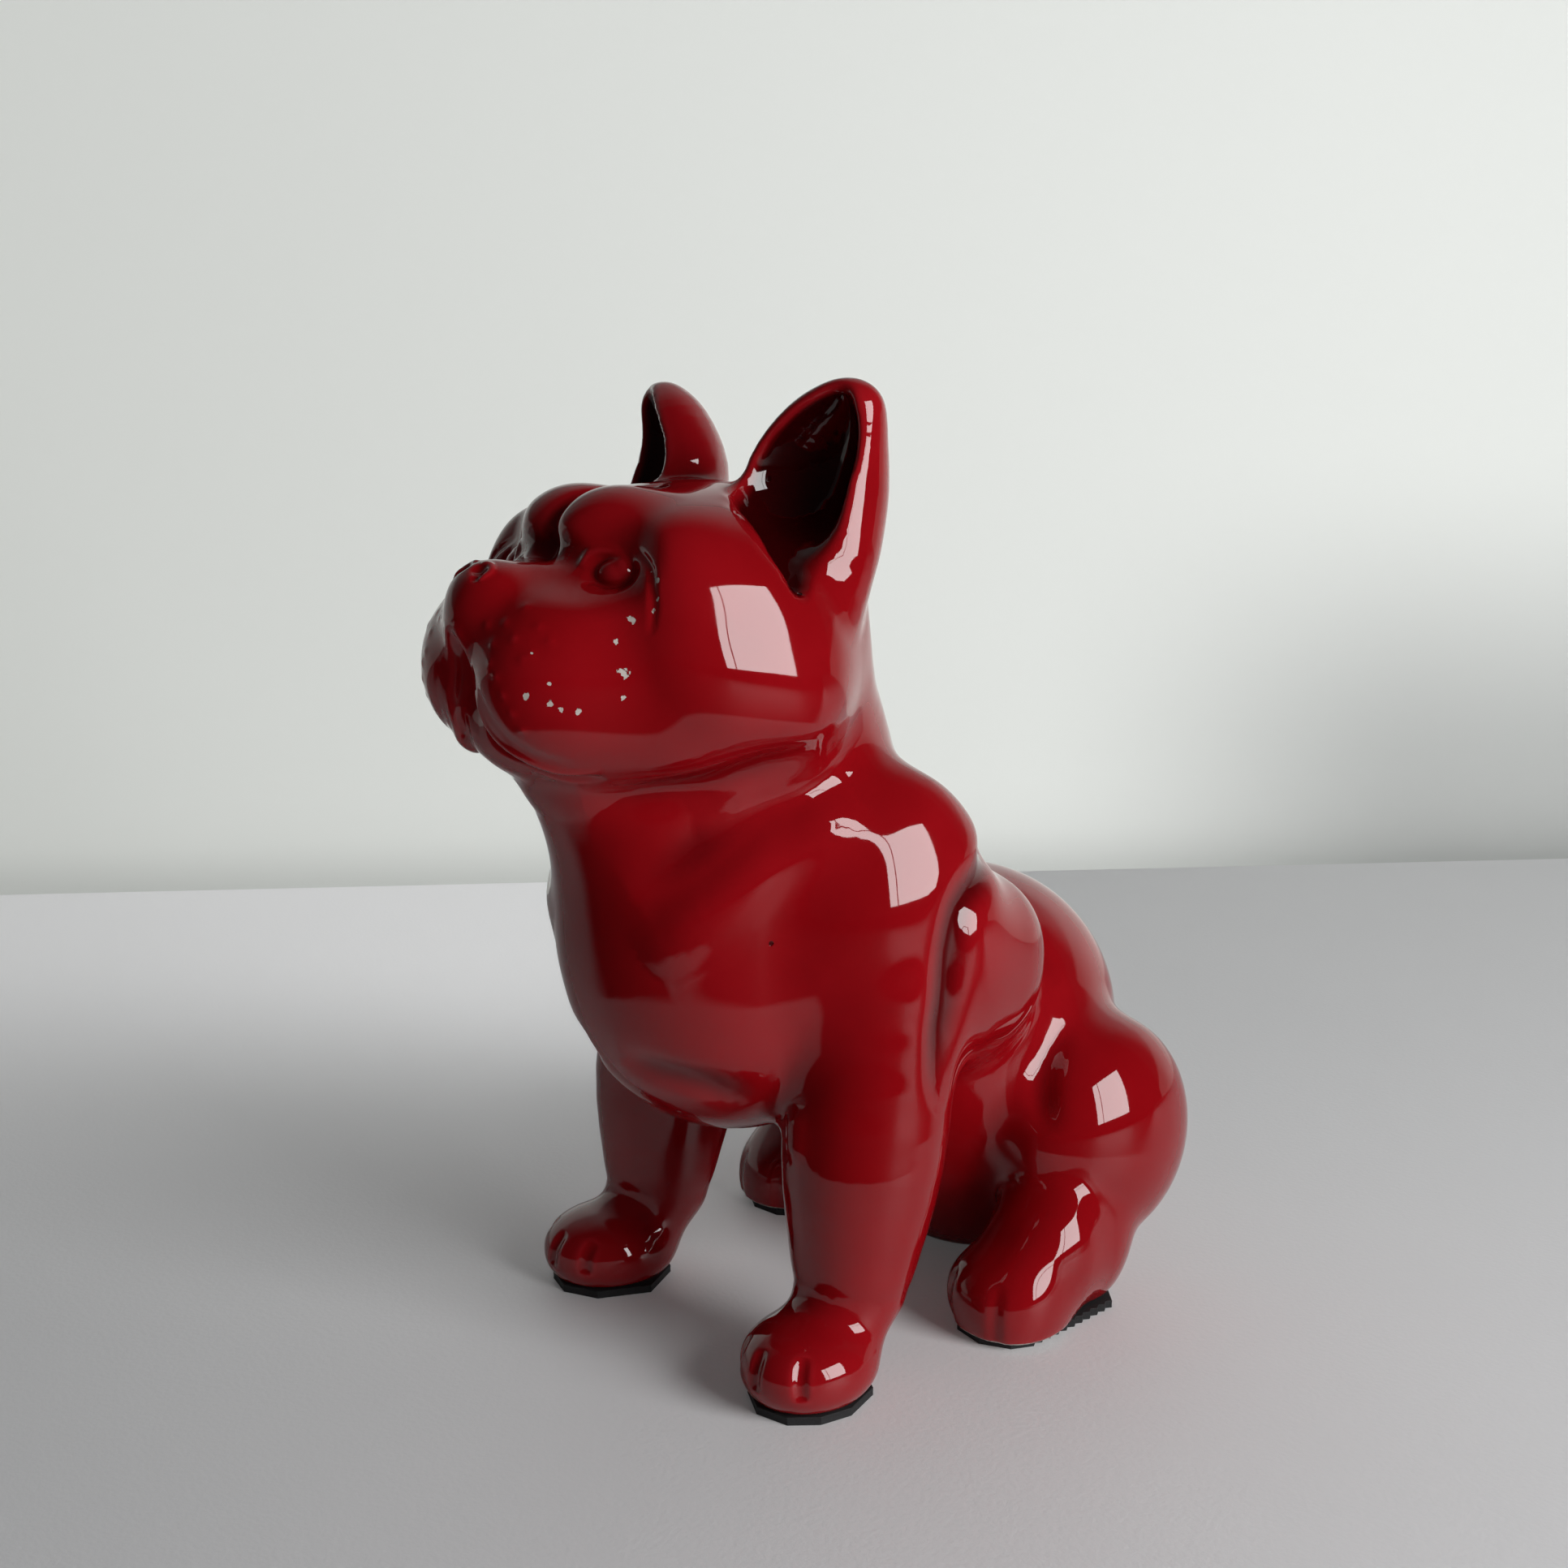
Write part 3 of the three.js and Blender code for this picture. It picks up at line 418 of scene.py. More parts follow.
    def pooled_and_shaded(self, p: Array) -> Array:
        """How far the points p lie inside the masses with their shaded pools filled up, in mm; the glaze is darkened
        by it with painted shade and gathered glaze.
        """
        return np.maximum(0.0, -self.mass(p, filled=True))

    def normal(self, p: Array, step: float = 0.12) -> Array:
        """Unit slopes of the distance at the points p, from differences over a small step."""
        slope = self._slope(self.distance, p, step)
        return slope / np.maximum(np.linalg.norm(slope, axis=1), 1e-9)[:, None]


class Skin:
    """A closed net of triangles on the zero level of a field."""

    BLOCK = 4  # grid cells along the side of a block that is first sampled at its middle
    NEAR = 1.6  # block sides from the surface within which each of its cells is sampled
    PROBE = 0.1  # mm over which slopes are measured
    FLATTEST = 0.3  # the least squared slope that a step is divided by

    def __init__(self, clay: Clay, low: Triple, high: Triple, pitch: float) -> None:
        """Lays a net with one point in each grid cell that the surface crosses.

        The point is the mean of the places where the cell's edges cross the surface, and each crossed
        grid edge gives one four-sided face from the four cells round it.

        Args:
            clay: the field.
            low: lowest corner of the grid.
            high: highest corner of the grid.
            pitch: the grid's step.
        """
        self.clay = clay
        self._edges = None
        value = self._sampled(low, high, pitch)
        cells, places = self._crossings(value)
        self.points = np.array(low) + pitch * places
        number = np.full(value.shape, -1)
        number[tuple(cells.T)] = np.arange(len(cells))
        self.faces = self._halved(self._quads(value < 0, number))

    @staticmethod
    def _crossings(value: Array) -> tuple[Array, Array]:
        """The grid cells that the surface crosses, and the mean of each one's crossings, in cells."""
        inside = value < 0
        many = np.array(value.shape) - 1
        corners = [(i, j, k) for i in (0, 1) for j in (0, 1) for k in (0, 1)]
        count = np.zeros(many, dtype=int)
        for corner in corners:
            count += inside[tuple(slice(start, start + size) for start, size in zip(corner, many))]
        cells = np.argwhere((count > 0) & (count < 8))
        total = np.zeros((len(cells), 3))
        hits = np.zeros(len(cells))
        for a in corners:
            for axis in range(3):
                if a[axis]:
                    continue
                b = tuple(c + (i == axis) for i, c in enumerate(a))
                at_a = value[tuple((cells + a).T)]
                at_b = value[tuple((cells + b).T)]
                cut = (at_a < 0) != (at_b < 0)
                t = at_a[cut] / (at_a[cut] - at_b[cut])
                total[cut] += cells[cut] + a + t[:, None] * (np.array(b) - a)
                hits[cut] += 1
        return cells, total / hits[:, None]

    @staticmethod
    def _quads(inside: Array, number: Array) -> Array:
        """One face for each crossed grid edge, from the numbers of the four cells round it."""
        quads = []
        for axis in range(3):
            u, v = (axis + 1) % 3, (axis + 2) % 3
            first = [slice(1, -1)] * 3
            second = [slice(1, -1)] * 3
            first[axis], second[axis] = slice(0, -1), slice(1, None)
            a, b = inside[tuple(first)], inside[tuple(second)]
            for start, flip in ((a & ~b, False), (~a & b, True)):
                at = np.argwhere(start) + [0 if i == axis else 1 for i in range(3)]
                ring = [at.copy() for _ in range(4)]
                ring[0][:, u] -= 1
                ring[0][:, v] -= 1
                ring[1][:, v] -= 1
                ring[3][:, u] -= 1
                quad = np.stack([number[tuple(r.T)] for r in ring], 1)
                quads.append(quad[:, ::-1] if flip else quad)
        return np.vstack(quads)

    def _sampled(self, low: Triple, high: Triple, pitch: float) -> Array:
        """The field on a grid; a block of it that lies far from the surface keeps its middle's value."""
        block = self.BLOCK
        many = [math.ceil((b - a) / (pitch * block)) for a, b in zip(low, high)]
        places = [np.arange(n) * block + (block - 1) / 2 for n in many]
        middle = np.stack(np.meshgrid(*places, indexing="ij"), -1)
        coarse = self.clay.distance(np.array(low) + pitch * middle.reshape(-1, 3)).reshape(many)
        value = coarse.repeat(block, 0).repeat(block, 1).repeat(block, 2)
        near = np.argwhere(np.abs(value) < self.NEAR * block * pitch)
        value[tuple(near.T)] = self.clay.distance(np.array(low) + pitch * near)
        return value

    def _halved(self, quads: Array) -> Array:
        """Two triangles for each four-sided face, split along its shorter diagonal."""
        p = self.points[quads]
        short = ((p[:, 0] - p[:, 2]) ** 2).sum(1) <= ((p[:, 1] - p[:, 3]) ** 2).sum(1)
        even = quads[short]
        odd = quads[~short]
        return np.vstack([even[:, [0, 1, 2]], even[:, [0, 2, 3]], odd[:, [0, 1, 3]], odd[:, [1, 2, 3]]])

    def edges(self) -> Array:
        """Each edge once, as a pair of point numbers in rising order."""
        if self._edges is None:
            a, b = self.faces.ravel(), np.roll(self.faces, -1, 1).ravel()
            total = len(self.points)
            keys = np.unique(np.minimum(a, b) * total + np.maximum(a, b))
            self._edges = np.stack([keys // total, keys % total], 1)
        return self._edges

    def spread(self, values: Array) -> Array:
        """The mean of each point's neighbours, for one value or several at each point."""
        ends = self.edges()
        columns = values.reshape(len(values), -1)
        many = np.bincount(ends.ravel(), minlength=len(values))
        total = [
            np.bincount(ends[:, 0], columns[ends[:, 1], c], len(values))
            + np.bincount(ends[:, 1], columns[ends[:, 0], c], len(values))
            for c in range(columns.shape[1])
        ]
        return (np.stack(total, 1) / many[:, None]).reshape(values.shape)

    def project(self, rounds: int = 2) -> None:
        """Moves the points onto the surface: each step is the distance over the slope, along it."""
        probes = np.eye(3) * self.PROBE
        for _ in range(rounds):
            d = self.clay.distance(self.points)
            ahead = np.stack([self.clay.distance(self.points + probe) for probe in probes], 1)
            slope = (ahead - d[:, None]) / self.PROBE
            move = (d / np.maximum(self.FLATTEST, (slope**2).sum(1)))[:, None] * slope
            far = np.linalg.norm(move, axis=1)
            self.points -= move * np.minimum(1.0, 1.0 / np.maximum(far, 1e-9))[:, None]

    def relax(self, rounds: int, share: float = 0.5) -> None:
        """Evens the net: each point goes part of the way to its neighbours' mean, along the surface."""
        for _ in range(rounds):
            pull = self.spread(self.points) - self.points
            normal = self.face_normals()
            pull -= (pull * normal).sum(1)[:, None] * normal
            self.points += share * pull

    def face_normals(self) -> Array:
        """Unit normals at the points, from the sum of the areas of the triangles round them."""
        p = self.points[self.faces]
        area = np.cross(p[:, 1] - p[:, 0], p[:, 2] - p[:, 0])
        many = len(self.points)
        columns = [sum(np.bincount(self.faces[:, k], area[:, c], many) for k in range(3)) for c in range(3)]
        total = np.stack(columns, 1)
        return total / np.maximum(np.linalg.norm(total, axis=1), 1e-12)[:, None]

    def hollowness(self, normals: Array, rounds: int = 4) -> Array:
        """How hollow the net is at each point, above 0 in a hollow and below 0 on a ridge.

        It is 4 times how far the neighbours' mean lies outwards, over the square of the mean length
        of the point's edges, evened out by adding half the neighbours' mean to half of itself.

        Args:
            normals: unit normals at the points.
            rounds: how often it is evened out.

        Returns:
            One number for each point.
        """
        ends = self.edges()
        many = len(self.points)
        outward = ((self.spread(self.points) - self.points) * normals).sum(1)
        length = np.sqrt(((self.points[ends[:, 0]] - self.points[ends[:, 1]]) ** 2).sum(1))
        total = np.bincount(ends[:, 0], length, many) + np.bincount(ends[:, 1], length, many)
        size = total / np.bincount(ends.ravel(), minlength=many)
        hollow = 4.0 * outward / size**2
        for _ in range(rounds):
            hollow = 0.5 * hollow + 0.5 * self.spread(hollow)
        return hollow

    def refine(self, chosen: Array) -> None:
        """Halves every edge whose two points are chosen, and splits the triangles beside it to match.

        Args:
            chosen: one truth value for each point.
        """
        ends = self.edges()
        split = chosen[ends[:, 0]] & chosen[ends[:, 1]]
        keys = ends[split, 0] * len(self.points) + ends[split, 1]
        total = len(self.points)
        middle = (self.points[ends[split, 0]] + self.points[ends[split, 1]]) / 2

        def mid(a: Array, b: Array) -> Array:
            """The new point's number on the edge between a and b, or -1."""
            key = np.minimum(a, b) * total + np.maximum(a, b)
            place = np.minimum(np.searchsorted(keys, key), max(0, len(keys) - 1))
            return np.where(keys[place] == key, total + place, -1)

        f = self.faces
        m = np.stack([mid(f[:, 0], f[:, 1]), mid(f[:, 1], f[:, 2]), mid(f[:, 2], f[:, 0])], 1)
        many = (m >= 0).sum(1)
        kept = [f[many == 0]]
        one = many == 1
        roll = np.argmax(m[one] >= 0, 1)
        rows = np.arange(len(roll))
        a, b, c = (f[one][rows, (roll + k) % 3] for k in range(3))
        new = m[one][rows, roll]
        kept += [np.stack([a, new, c], 1), np.stack([new, b, c], 1)]
        g, h = f[many == 3], m[many == 3]
        kept += [
            np.stack([g[:, 0], h[:, 0], h[:, 2]], 1),
            np.stack([h[:, 0], g[:, 1], h[:, 1]], 1),
            np.stack([h[:, 2], h[:, 1], g[:, 2]], 1),
            h,
        ]
        self.points = np.vstack([self.points, middle])
        self.faces = np.vstack(kept)
        self._edges = None


@dataclass(frozen=True)
class Anatomy:
    """Where the main forms sit, in millimetres in the clay's frame."""

    pad_thickness: float = 2.2
    skull: Triple = (0.0, -31.0, 201.0)
    chest: Triple = (0.0, -17.0, 114.0)
    hip: Triple = (0.0, 72.0, 50.0)
    wrist: Triple = (43.0, -14.5, 26.0)
    toe: Triple = (52.0, 35.0, 10.5)
    eye_turn: float = 33.5
    ear_turn: float = 35.0
    paw_turn: float = 15.0
    right_foot_back: float = 10.0
    paw_radii: Triple = (17.5, 20.0, 11.8)
    toe_radii: Triple = (16.5, 15.0, 12.0)
    heel_radii: Triple = (12.5, 15.5, 12.5)
    squareness: float = 2.2
    drain_radius: float = 5.0
    drain_depth: float = 12.0

    @property
    def muzzle(self) -> Triple:
        """The middle of the two flews."""
        return offset(self.skull, 0, -47.5, -10)

    @property
    def ear_tip(self) -> Triple:
        """The tip of the left ear."""
        return offset(self.skull, 37.4, 19, 59)

    @property
    def eye(self) -> Triple:
        """The middle of the left eye."""
        return offset(self.skull, 21, -42.5, 14.5)

    @property
    def paw(self) -> Triple:
        """The middle of the left forepaw."""
        return offset(self.wrist, 2, -16, -16)

    @property
    def heel(self) -> Triple:
        """The middle of the left heel."""
        return offset(self.toe, -2, 28.5, 0.5)


class Bench:
    """One material's node tree, built a node at a time."""

    def __init__(self, name: str) -> None:
        """Starts an empty material with an output and a Principled shader."""
        self.material = bpy.data.materials.new(name)
        self.material.use_nodes = True
        self.tree = self.material.node_tree
        self.tree.nodes.clear()
        self._place = None
        self.output = self.tree.nodes.new("ShaderNodeOutputMaterial")
        self.shader = self.tree.nodes.new("ShaderNodeBsdfPrincipled")
        self.tree.links.new(self.shader.outputs[0], self.output.inputs["Surface"])

    def node(self, kind: str, settings: dict | None = None, inputs: dict | None = None) -> bpy.types.Node:
        """Adds a node.

        Args:
            kind: the node's type, without "ShaderNode".
            settings: its properties, set first.
            inputs: values, sockets or signals for its sockets, by name or number.

        Returns:
            The node.
        """
        made = self.tree.nodes.new("ShaderNode" + kind)
        for name, value in (settings or {}).items():
            setattr(made, name, value)
        for name, value in (inputs or {}).items():
            self.feed(made.inputs[name], value)
        return made

    def feed(self, socket: bpy.types.NodeSocket, value: object) -> None:
        """Links a signal or socket to a socket, or sets its value."""
        if isinstance(value, Signal):
            value = value.socket
        if isinstance(value, bpy.types.NodeSocket):
            self.tree.links.new(value, socket)
        else:
            socket.default_value = value

    def signal(
        self, kind: str, settings: dict | None = None, inputs: dict | None = None, out: object = 0
    ) -> "Signal":
        """Adds a node and returns one of its outputs as a signal."""
        return Signal(self, self.node(kind, settings, inputs).outputs[out])

    def mix(self, share: object, first: object, second: object) -> bpy.types.NodeSocket:
        """A colour between two, by a share."""
        return self.node("Mix", {"data_type": "RGBA"}, {0: share, 6: first, 7: second}).outputs[2]

    def noise(self, size_mm: float, detail: float = 2.0, roughness: float = 0.5) -> "Signal":
        """Noise whose features are about size_mm across on the object."""
        scale = 1.0 / (size_mm * MM)
        inputs = {"Vector": self.place, "Scale": scale, "Detail": detail, "Roughness": roughness}
        return self.signal("TexNoise", None, inputs)

    def stored(self, name: str) -> "Signal":
        """A number stored on the mesh under a name."""
        return self.signal("Attribute", {"attribute_name": name}, None, "Fac")

    def height(self) -> "Signal":
        """How high a place lies."""
        return self.signal("SeparateXYZ", None, {0: self.place}, "Z")

    def gap(self, spot: Triple) -> "Signal":
        """How far a place lies from a spot."""
        return self.signal("VectorMath", {"operation": "DISTANCE"}, {0: self.place, 1: spot}, "Value")

    def along(self, way: Triple) -> "Signal":
        """How far a place lies along a unit direction."""
        return self.signal("VectorMath", {"operation": "DOT_PRODUCT"}, {0: self.place, 1: way}, "Value")

    def ray(self, kind: str) -> "Signal":
        """1 for rays of a kind, such as Is Camera Ray."""
        return self.signal("LightPath", None, {}, kind)

    def bump(self, relief: "Signal", strength: float = 1.0) -> "Signal":
        """The surface's normal as a relief in millimetres would turn it."""
        inputs = {"Strength": strength, "Distance": MM, "Height": relief}
        return self.signal("Bump", None, inputs, "Normal")

    @property
    def place(self) -> bpy.types.NodeSocket:
        """Object coordinates."""
        if self._place is None:
            self._place = self.node("TexCoord").outputs["Object"]
        return self._place

    def finish(self, constants: dict, varying: dict) -> bpy.types.Material:
        """Sets the shader's own sockets, links those that vary, and returns the material."""
        for name, value in {**constants, **varying}.items():
            self.feed(self.shader.inputs[name], value)
        return self.material


class Signal:
    """A number that varies over a surface; arithmetic on it adds Math nodes."""

    def __init__(self, bench: Bench, socket: bpy.types.NodeSocket) -> None:
        """Wraps a socket of the bench's tree."""
        self.bench = bench
        self.socket = socket

    def _math(self, operation: str, first: object, second: object = 0.0) -> "Signal":
        """One Math node on two values."""
        return self.bench.signal("Math", {"operation": operation}, {0: first, 1: second})

    def __add__(self, other: object) -> "Signal":
        """self + other."""
        return self._math("ADD", self, other)

    __radd__ = __add__

    def __sub__(self, other: object) -> "Signal":
        """self - other."""
        return self._math("SUBTRACT", self, other)

    def __rsub__(self, other: object) -> "Signal":
        """other - self."""
        return self._math("SUBTRACT", other, self)

    def __mul__(self, other: object) -> "Signal":
        """self * other."""
        return self._math("MULTIPLY", self, other)

    __rmul__ = __mul__

    def __truediv__(self, other: object) -> "Signal":
        """self / other."""
        return self._math("DIVIDE", self, other)

    def __rtruediv__(self, other: object) -> "Signal":
        """other / self."""
        return self._math("DIVIDE", other, self)

    def most(self, other: object) -> "Signal":
        """The greater of the two."""
        return self._math("MAXIMUM", self, other)

    def rise(self, low: float, high: float) -> "Signal":
        """0 below low, 1 above high and smooth between; falls instead where low is above high."""
        if low > high:
            return 1.0 - self.rise(high, low)
        inputs = {"Value": self, "From Min": low, "From Max": high}
        return self.bench.signal("MapRange", {"interpolation_type": "SMOOTHSTEP"}, inputs)


@dataclass(frozen=True)
class Chip:
    """A place where the glaze has come off: its middle near the clay's surface and its reach, in mm."""

    at: Triple
    reach: float


@dataclass(frozen=True)
class RedGlaze:
    """Deep crimson glaze, mirror-smooth, over a pale body that shows at chips and at the foot rims.

    Sizes are in millimetres. A pair of sizes or levels is where an effect starts and where it is full.
    """

    chips: tuple[Chip, ...]
    pinholes: Points
    colour: Triple = (0.225, 0.0022, 0.0045)
    lively: Triple = (0.265, 0.0034, 0.0065)
    # near-black red for the hollows' painted shade and gathered glaze, and for the pinholes
    dark_glaze_and_shade: Triple = (0.014, 0.0004, 0.0006)
    thin: Triple = (0.330, 0.0085, 0.0130)
    biscuit: Triple = (0.520, 0.470, 0.430)
    stain: Triple = (0.42, 0.30, 0.26)
    drift_size: float = 45.0
    drift: Pair = (0.35, 0.68)
    pooled_and_shaded_depth: Pair = (0.3, 3.5)
    pooled_and_shaded_share: float = 0.95
    ridge: Pair = (-0.08, -0.45)
    ridge_share: float = 0.55
    prick_share: float = 0.85
    stain_size: float = 0.9
    stain_share: float = 0.35
    chip_grain: float = 1.3
    chip_raggedness: float = 3.0
    chip_edge: Pair = (0.95, 0.85)
    prick_edge: Pair = (0.75, 0.45)
    wiped_edge: Pair = (0.75, 0.45)
    wiped_wave: float = 1.6
    wiped_wave_size: float = 7.0
    roughness: float = 0.035
    smear_size: float = 22.0
    smear_roughness: float = 0.03
    bare_roughness: float = 0.62
    swell_size: float = 16.0
    swell_height: float = 0.05
    ripple_size: float = 5.0
    ripple_height: float = 0.006
    pit_depth: float = 0.3
    ior: float = 1.5

    def chipped(self, bench: Bench, spots: list[Triple]) -> Signal:
        """1 inside the chips: the gap to each one's middle over its reach, made ragged by noise."""
        ragged = (bench.noise(self.chip_grain, 3.0) - 0.5) * self.chip_raggedness
        gaps = [bench.gap(spot) / (chip.reach * MM) for chip, spot in zip(self.chips, spots)]
        return reduce(Signal.most, [(gap + ragged).rise(*self.chip_edge) for gap in gaps])

    def pricked(self, bench: Bench, spots: list[Triple]) -> Signal:
        """1 inside the pinholes, round dots a little over a millimetre across."""
        outer, inner = (reach * MM for reach in self.prick_edge)
        return reduce(Signal.most, [bench.gap(spot).rise(outer, inner) for spot in spots])

    def wiped(self, bench: Bench, floor: float) -> Signal:
        """1 near the floor, where the glaze was wiped from the foot rims along a wavy line."""
        wave = (bench.noise(self.wiped_wave_size) - 0.5) * self.wiped_wave * MM
        top, full = (floor + height * MM for height in self.wiped_edge)
        return (bench.height() + wave).rise(top, full)

    def coloured(self, bench: Bench, bare: Signal, pricked: Signal) -> bpy.types.NodeSocket:
        """Glaze that is dark in the hollows, partly glaze gathered there and partly painted shade, thin on ridges,
        and stained biscuit where it is bare.
        """
        drift = bench.noise(self.drift_size, 3.0).rise(*self.drift)
        colour = bench.mix(drift, opaque(self.colour), opaque(self.lively))
        # painted shade: the ear's inside and the eye socket go near black with depth, partly glaze gathered there
        pooled_and_shaded = bench.stored("pooled_and_shaded").rise(*self.pooled_and_shaded_depth) * self.pooled_and_shaded_share
        colour = bench.mix(pooled_and_shaded, colour, opaque(self.dark_glaze_and_shade))
        ridge = bench.stored("hollow").rise(*self.ridge) * self.ridge_share
        colour = bench.mix(ridge, colour, opaque(self.thin))
        colour = bench.mix(pricked * self.prick_share, colour, opaque(self.dark_glaze_and_shade))
        stained = bench.noise(self.stain_size, 3.0).rise(0.45, 0.7) * self.stain_share
        return bench.mix(bare, colour, bench.mix(stained, opaque(self.biscuit), opaque(self.stain)))

    def roughened(self, bench: Bench, bare: Signal) -> Signal:
        """Smooth glaze with faint smears, and dull biscuit."""
        smear = bench.noise(self.smear_size, 4.0).rise(0.52, 0.75)
        return (self.roughness + smear * self.smear_roughness) * (1.0 - bare) + bare * self.bare_roughness

    def relief(self, bench: Bench, pits: Signal) -> Signal:
        """Heights in mm: a slow swell, a faint ripple, and the pits of chips and pinholes."""
        swell = bench.noise(self.swell_size, 1.0) * self.swell_height
        ripple = bench.noise(self.ripple_size, 2.0) * self.ripple_height
        return swell + ripple - pits * self.pit_depth

    def material(self, clay: Clay, origin: Array, sole: float) -> bpy.types.Material:
        """Builds the material.

        Args:
            clay: the field onto whose surface the chips and pinholes are moved.
            origin: the row frame's origin in the clay's frame, in mm.
            sole: height in mm of the cut soles, where the glaze was wiped away.

        Returns:
            The material.
        """
        bench = Bench("crimson_glaze")
        middles = [chip.at for chip in self.chips] + list(self.pinholes)
        spots = [tuple(spot) for spot in (clay.settle(np.array(middles)) - origin) * MM]
        chipped = self.chipped(bench, spots[: len(self.chips)])
        pricked = self.pricked(bench, spots[len(self.chips) :])
        bare = chipped.most(self.wiped(bench, (sole - origin[2]) * MM))
        varying = {
            "Base Color": self.coloured(bench, bare, pricked),
            "Roughness": self.roughened(bench, bare),
            "Normal": bench.bump(self.relief(bench, chipped + pricked)),
        }
        return bench.finish({"IOR": self.ior}, varying)


@dataclass(frozen=True)
class CutRubber:
    """Black sheet rubber, matt and faintly grained, with a little pale dust on it."""

    colour: Triple = (0.0085, 0.0085, 0.0095)
    dusty: Triple = (0.050, 0.048, 0.046)
    roughness: float = 0.72
    roughness_spread: float = 0.2
    grain_size: float = 0.5
    grain_height: float = 0.12
    grain_strength: float = 0.7
    cloud_size: float = 3.5
    speck_size: float = 0.35
    dust_share: float = 0.6
    ior: float = 1.5

    def material(self) -> bpy.types.Material:
        """Builds the material: grain over the sheet, and dust where specks fall within soft clouds."""
        bench = Bench("black_sheet_rubber")
        grain = bench.noise(self.grain_size, 3.0)
        clouds = bench.noise(self.cloud_size, 5.0, roughness=0.7).rise(0.55, 0.72)
        specks = bench.noise(self.speck_size, 2.0).rise(0.5, 0.62)
        dust = clouds * specks * self.dust_share
        varying = {
            "Base Color": bench.mix(dust, opaque(self.colour), opaque(self.dusty)),
            "Roughness": self.roughness + (grain - 0.5) * self.roughness_spread,
            "Normal": bench.bump(grain * self.grain_height, self.grain_strength),
        }
        return bench.finish({"IOR": self.ior}, varying)


def placed(name: str, data: bpy.types.ID) -> bpy.types.Object:
    """A new object with this data, linked to the scene."""
    made = bpy.data.objects.new(name, data)
    bpy.context.scene.collection.objects.link(made)
    return made


def put_mesh(name: str, points_mm: Array, faces: Array, material: bpy.types.Material) -> bpy.types.Object:
    """Puts points and equal-sided faces into a smooth mesh object at the origin.

    Args:
        name: the piece's name.
        points_mm: its points in the row frame, in millimetres.
        faces: each face's point numbers, turning to the left seen from outside.
        material: its finish.

    Returns:
        The object, linked to the scene.
    """
    mesh = bpy.data.meshes.new(name)
    mesh.vertices.add(len(points_mm))
    mesh.vertices.foreach_set("co", (points_mm * MM).astype(np.float32).ravel())
    mesh.loops.add(faces.size)
    mesh.loops.foreach_set("vertex_index", faces.astype(np.int32).ravel())
    mesh.polygons.add(len(faces))
    mesh.polygons.foreach_set("loop_start", np.arange(0, faces.size, faces.shape[1], dtype=np.int32))
    mesh.polygons.foreach_set("use_smooth", np.ones(len(faces), dtype=bool))
    mesh.update(calc_edges=True)
    mesh.validate()
    mesh.materials.append(material)
    return placed(name, mesh)


@dataclass(frozen=True)
class FineNet:
    """Where the body's net is refined, in mm: bounds in the clay's frame, or distances from a middle."""

    face_front: float = -52.0
    face_below_skull: float = 45.0
    ears_above_skull: float = 24.0
    feet_top: float = 24.0
    eye_reach: float = 13.0
    nose_reach: float = 11.0
    nose_from_muzzle: Triple = (0.0, -18.0, 20.0)
    lips_front: float = -78.0
    lips_above_muzzle: float = 14.0
    lips_below_muzzle: float = 30.0
    lips_aside: float = 22.0
    toes_top: float = 20.0
    toes_before_paw: float = 8.0

    def chosen(self, p: Array, anatomy: Anatomy) -> tuple[Array, Array]:
        """Which points need a finer net.

        Args:
            p: the points.
            anatomy: where the main forms sit.

        Returns:
            One truth value a point for face, ears and feet, and another for eyes, nose, lips and toes.
        """
        x, y, z = np.abs(p[:, 0]), p[:, 1], p[:, 2]
        left = np.stack([x, y, z], 1)
        skull_height, muzzle_height = anatomy.skull[2], anatomy.muzzle[2]
        nose_middle = offset(anatomy.muzzle, *self.nose_from_muzzle)
        face = (y < self.face_front) & (z > skull_height - self.face_below_skull)
        ears = z > skull_height + self.ears_above_skull
        eye = ((left - anatomy.eye) ** 2).sum(1) < self.eye_reach**2
        nose = ((left - nose_middle) ** 2).sum(1) < self.nose_reach**2
        level = (z < muzzle_height + self.lips_above_muzzle) & (z > muzzle_height - self.lips_below_muzzle)
        lips = (y < self.lips_front) & level & (x < self.lips_aside)
        toes = (z < self.toes_top) & (y < anatomy.paw[1] - self.toes_before_paw)
        fine = face | ears | (z < self.feet_top)
        return fine, fine & (eye | nose | lips | toes)


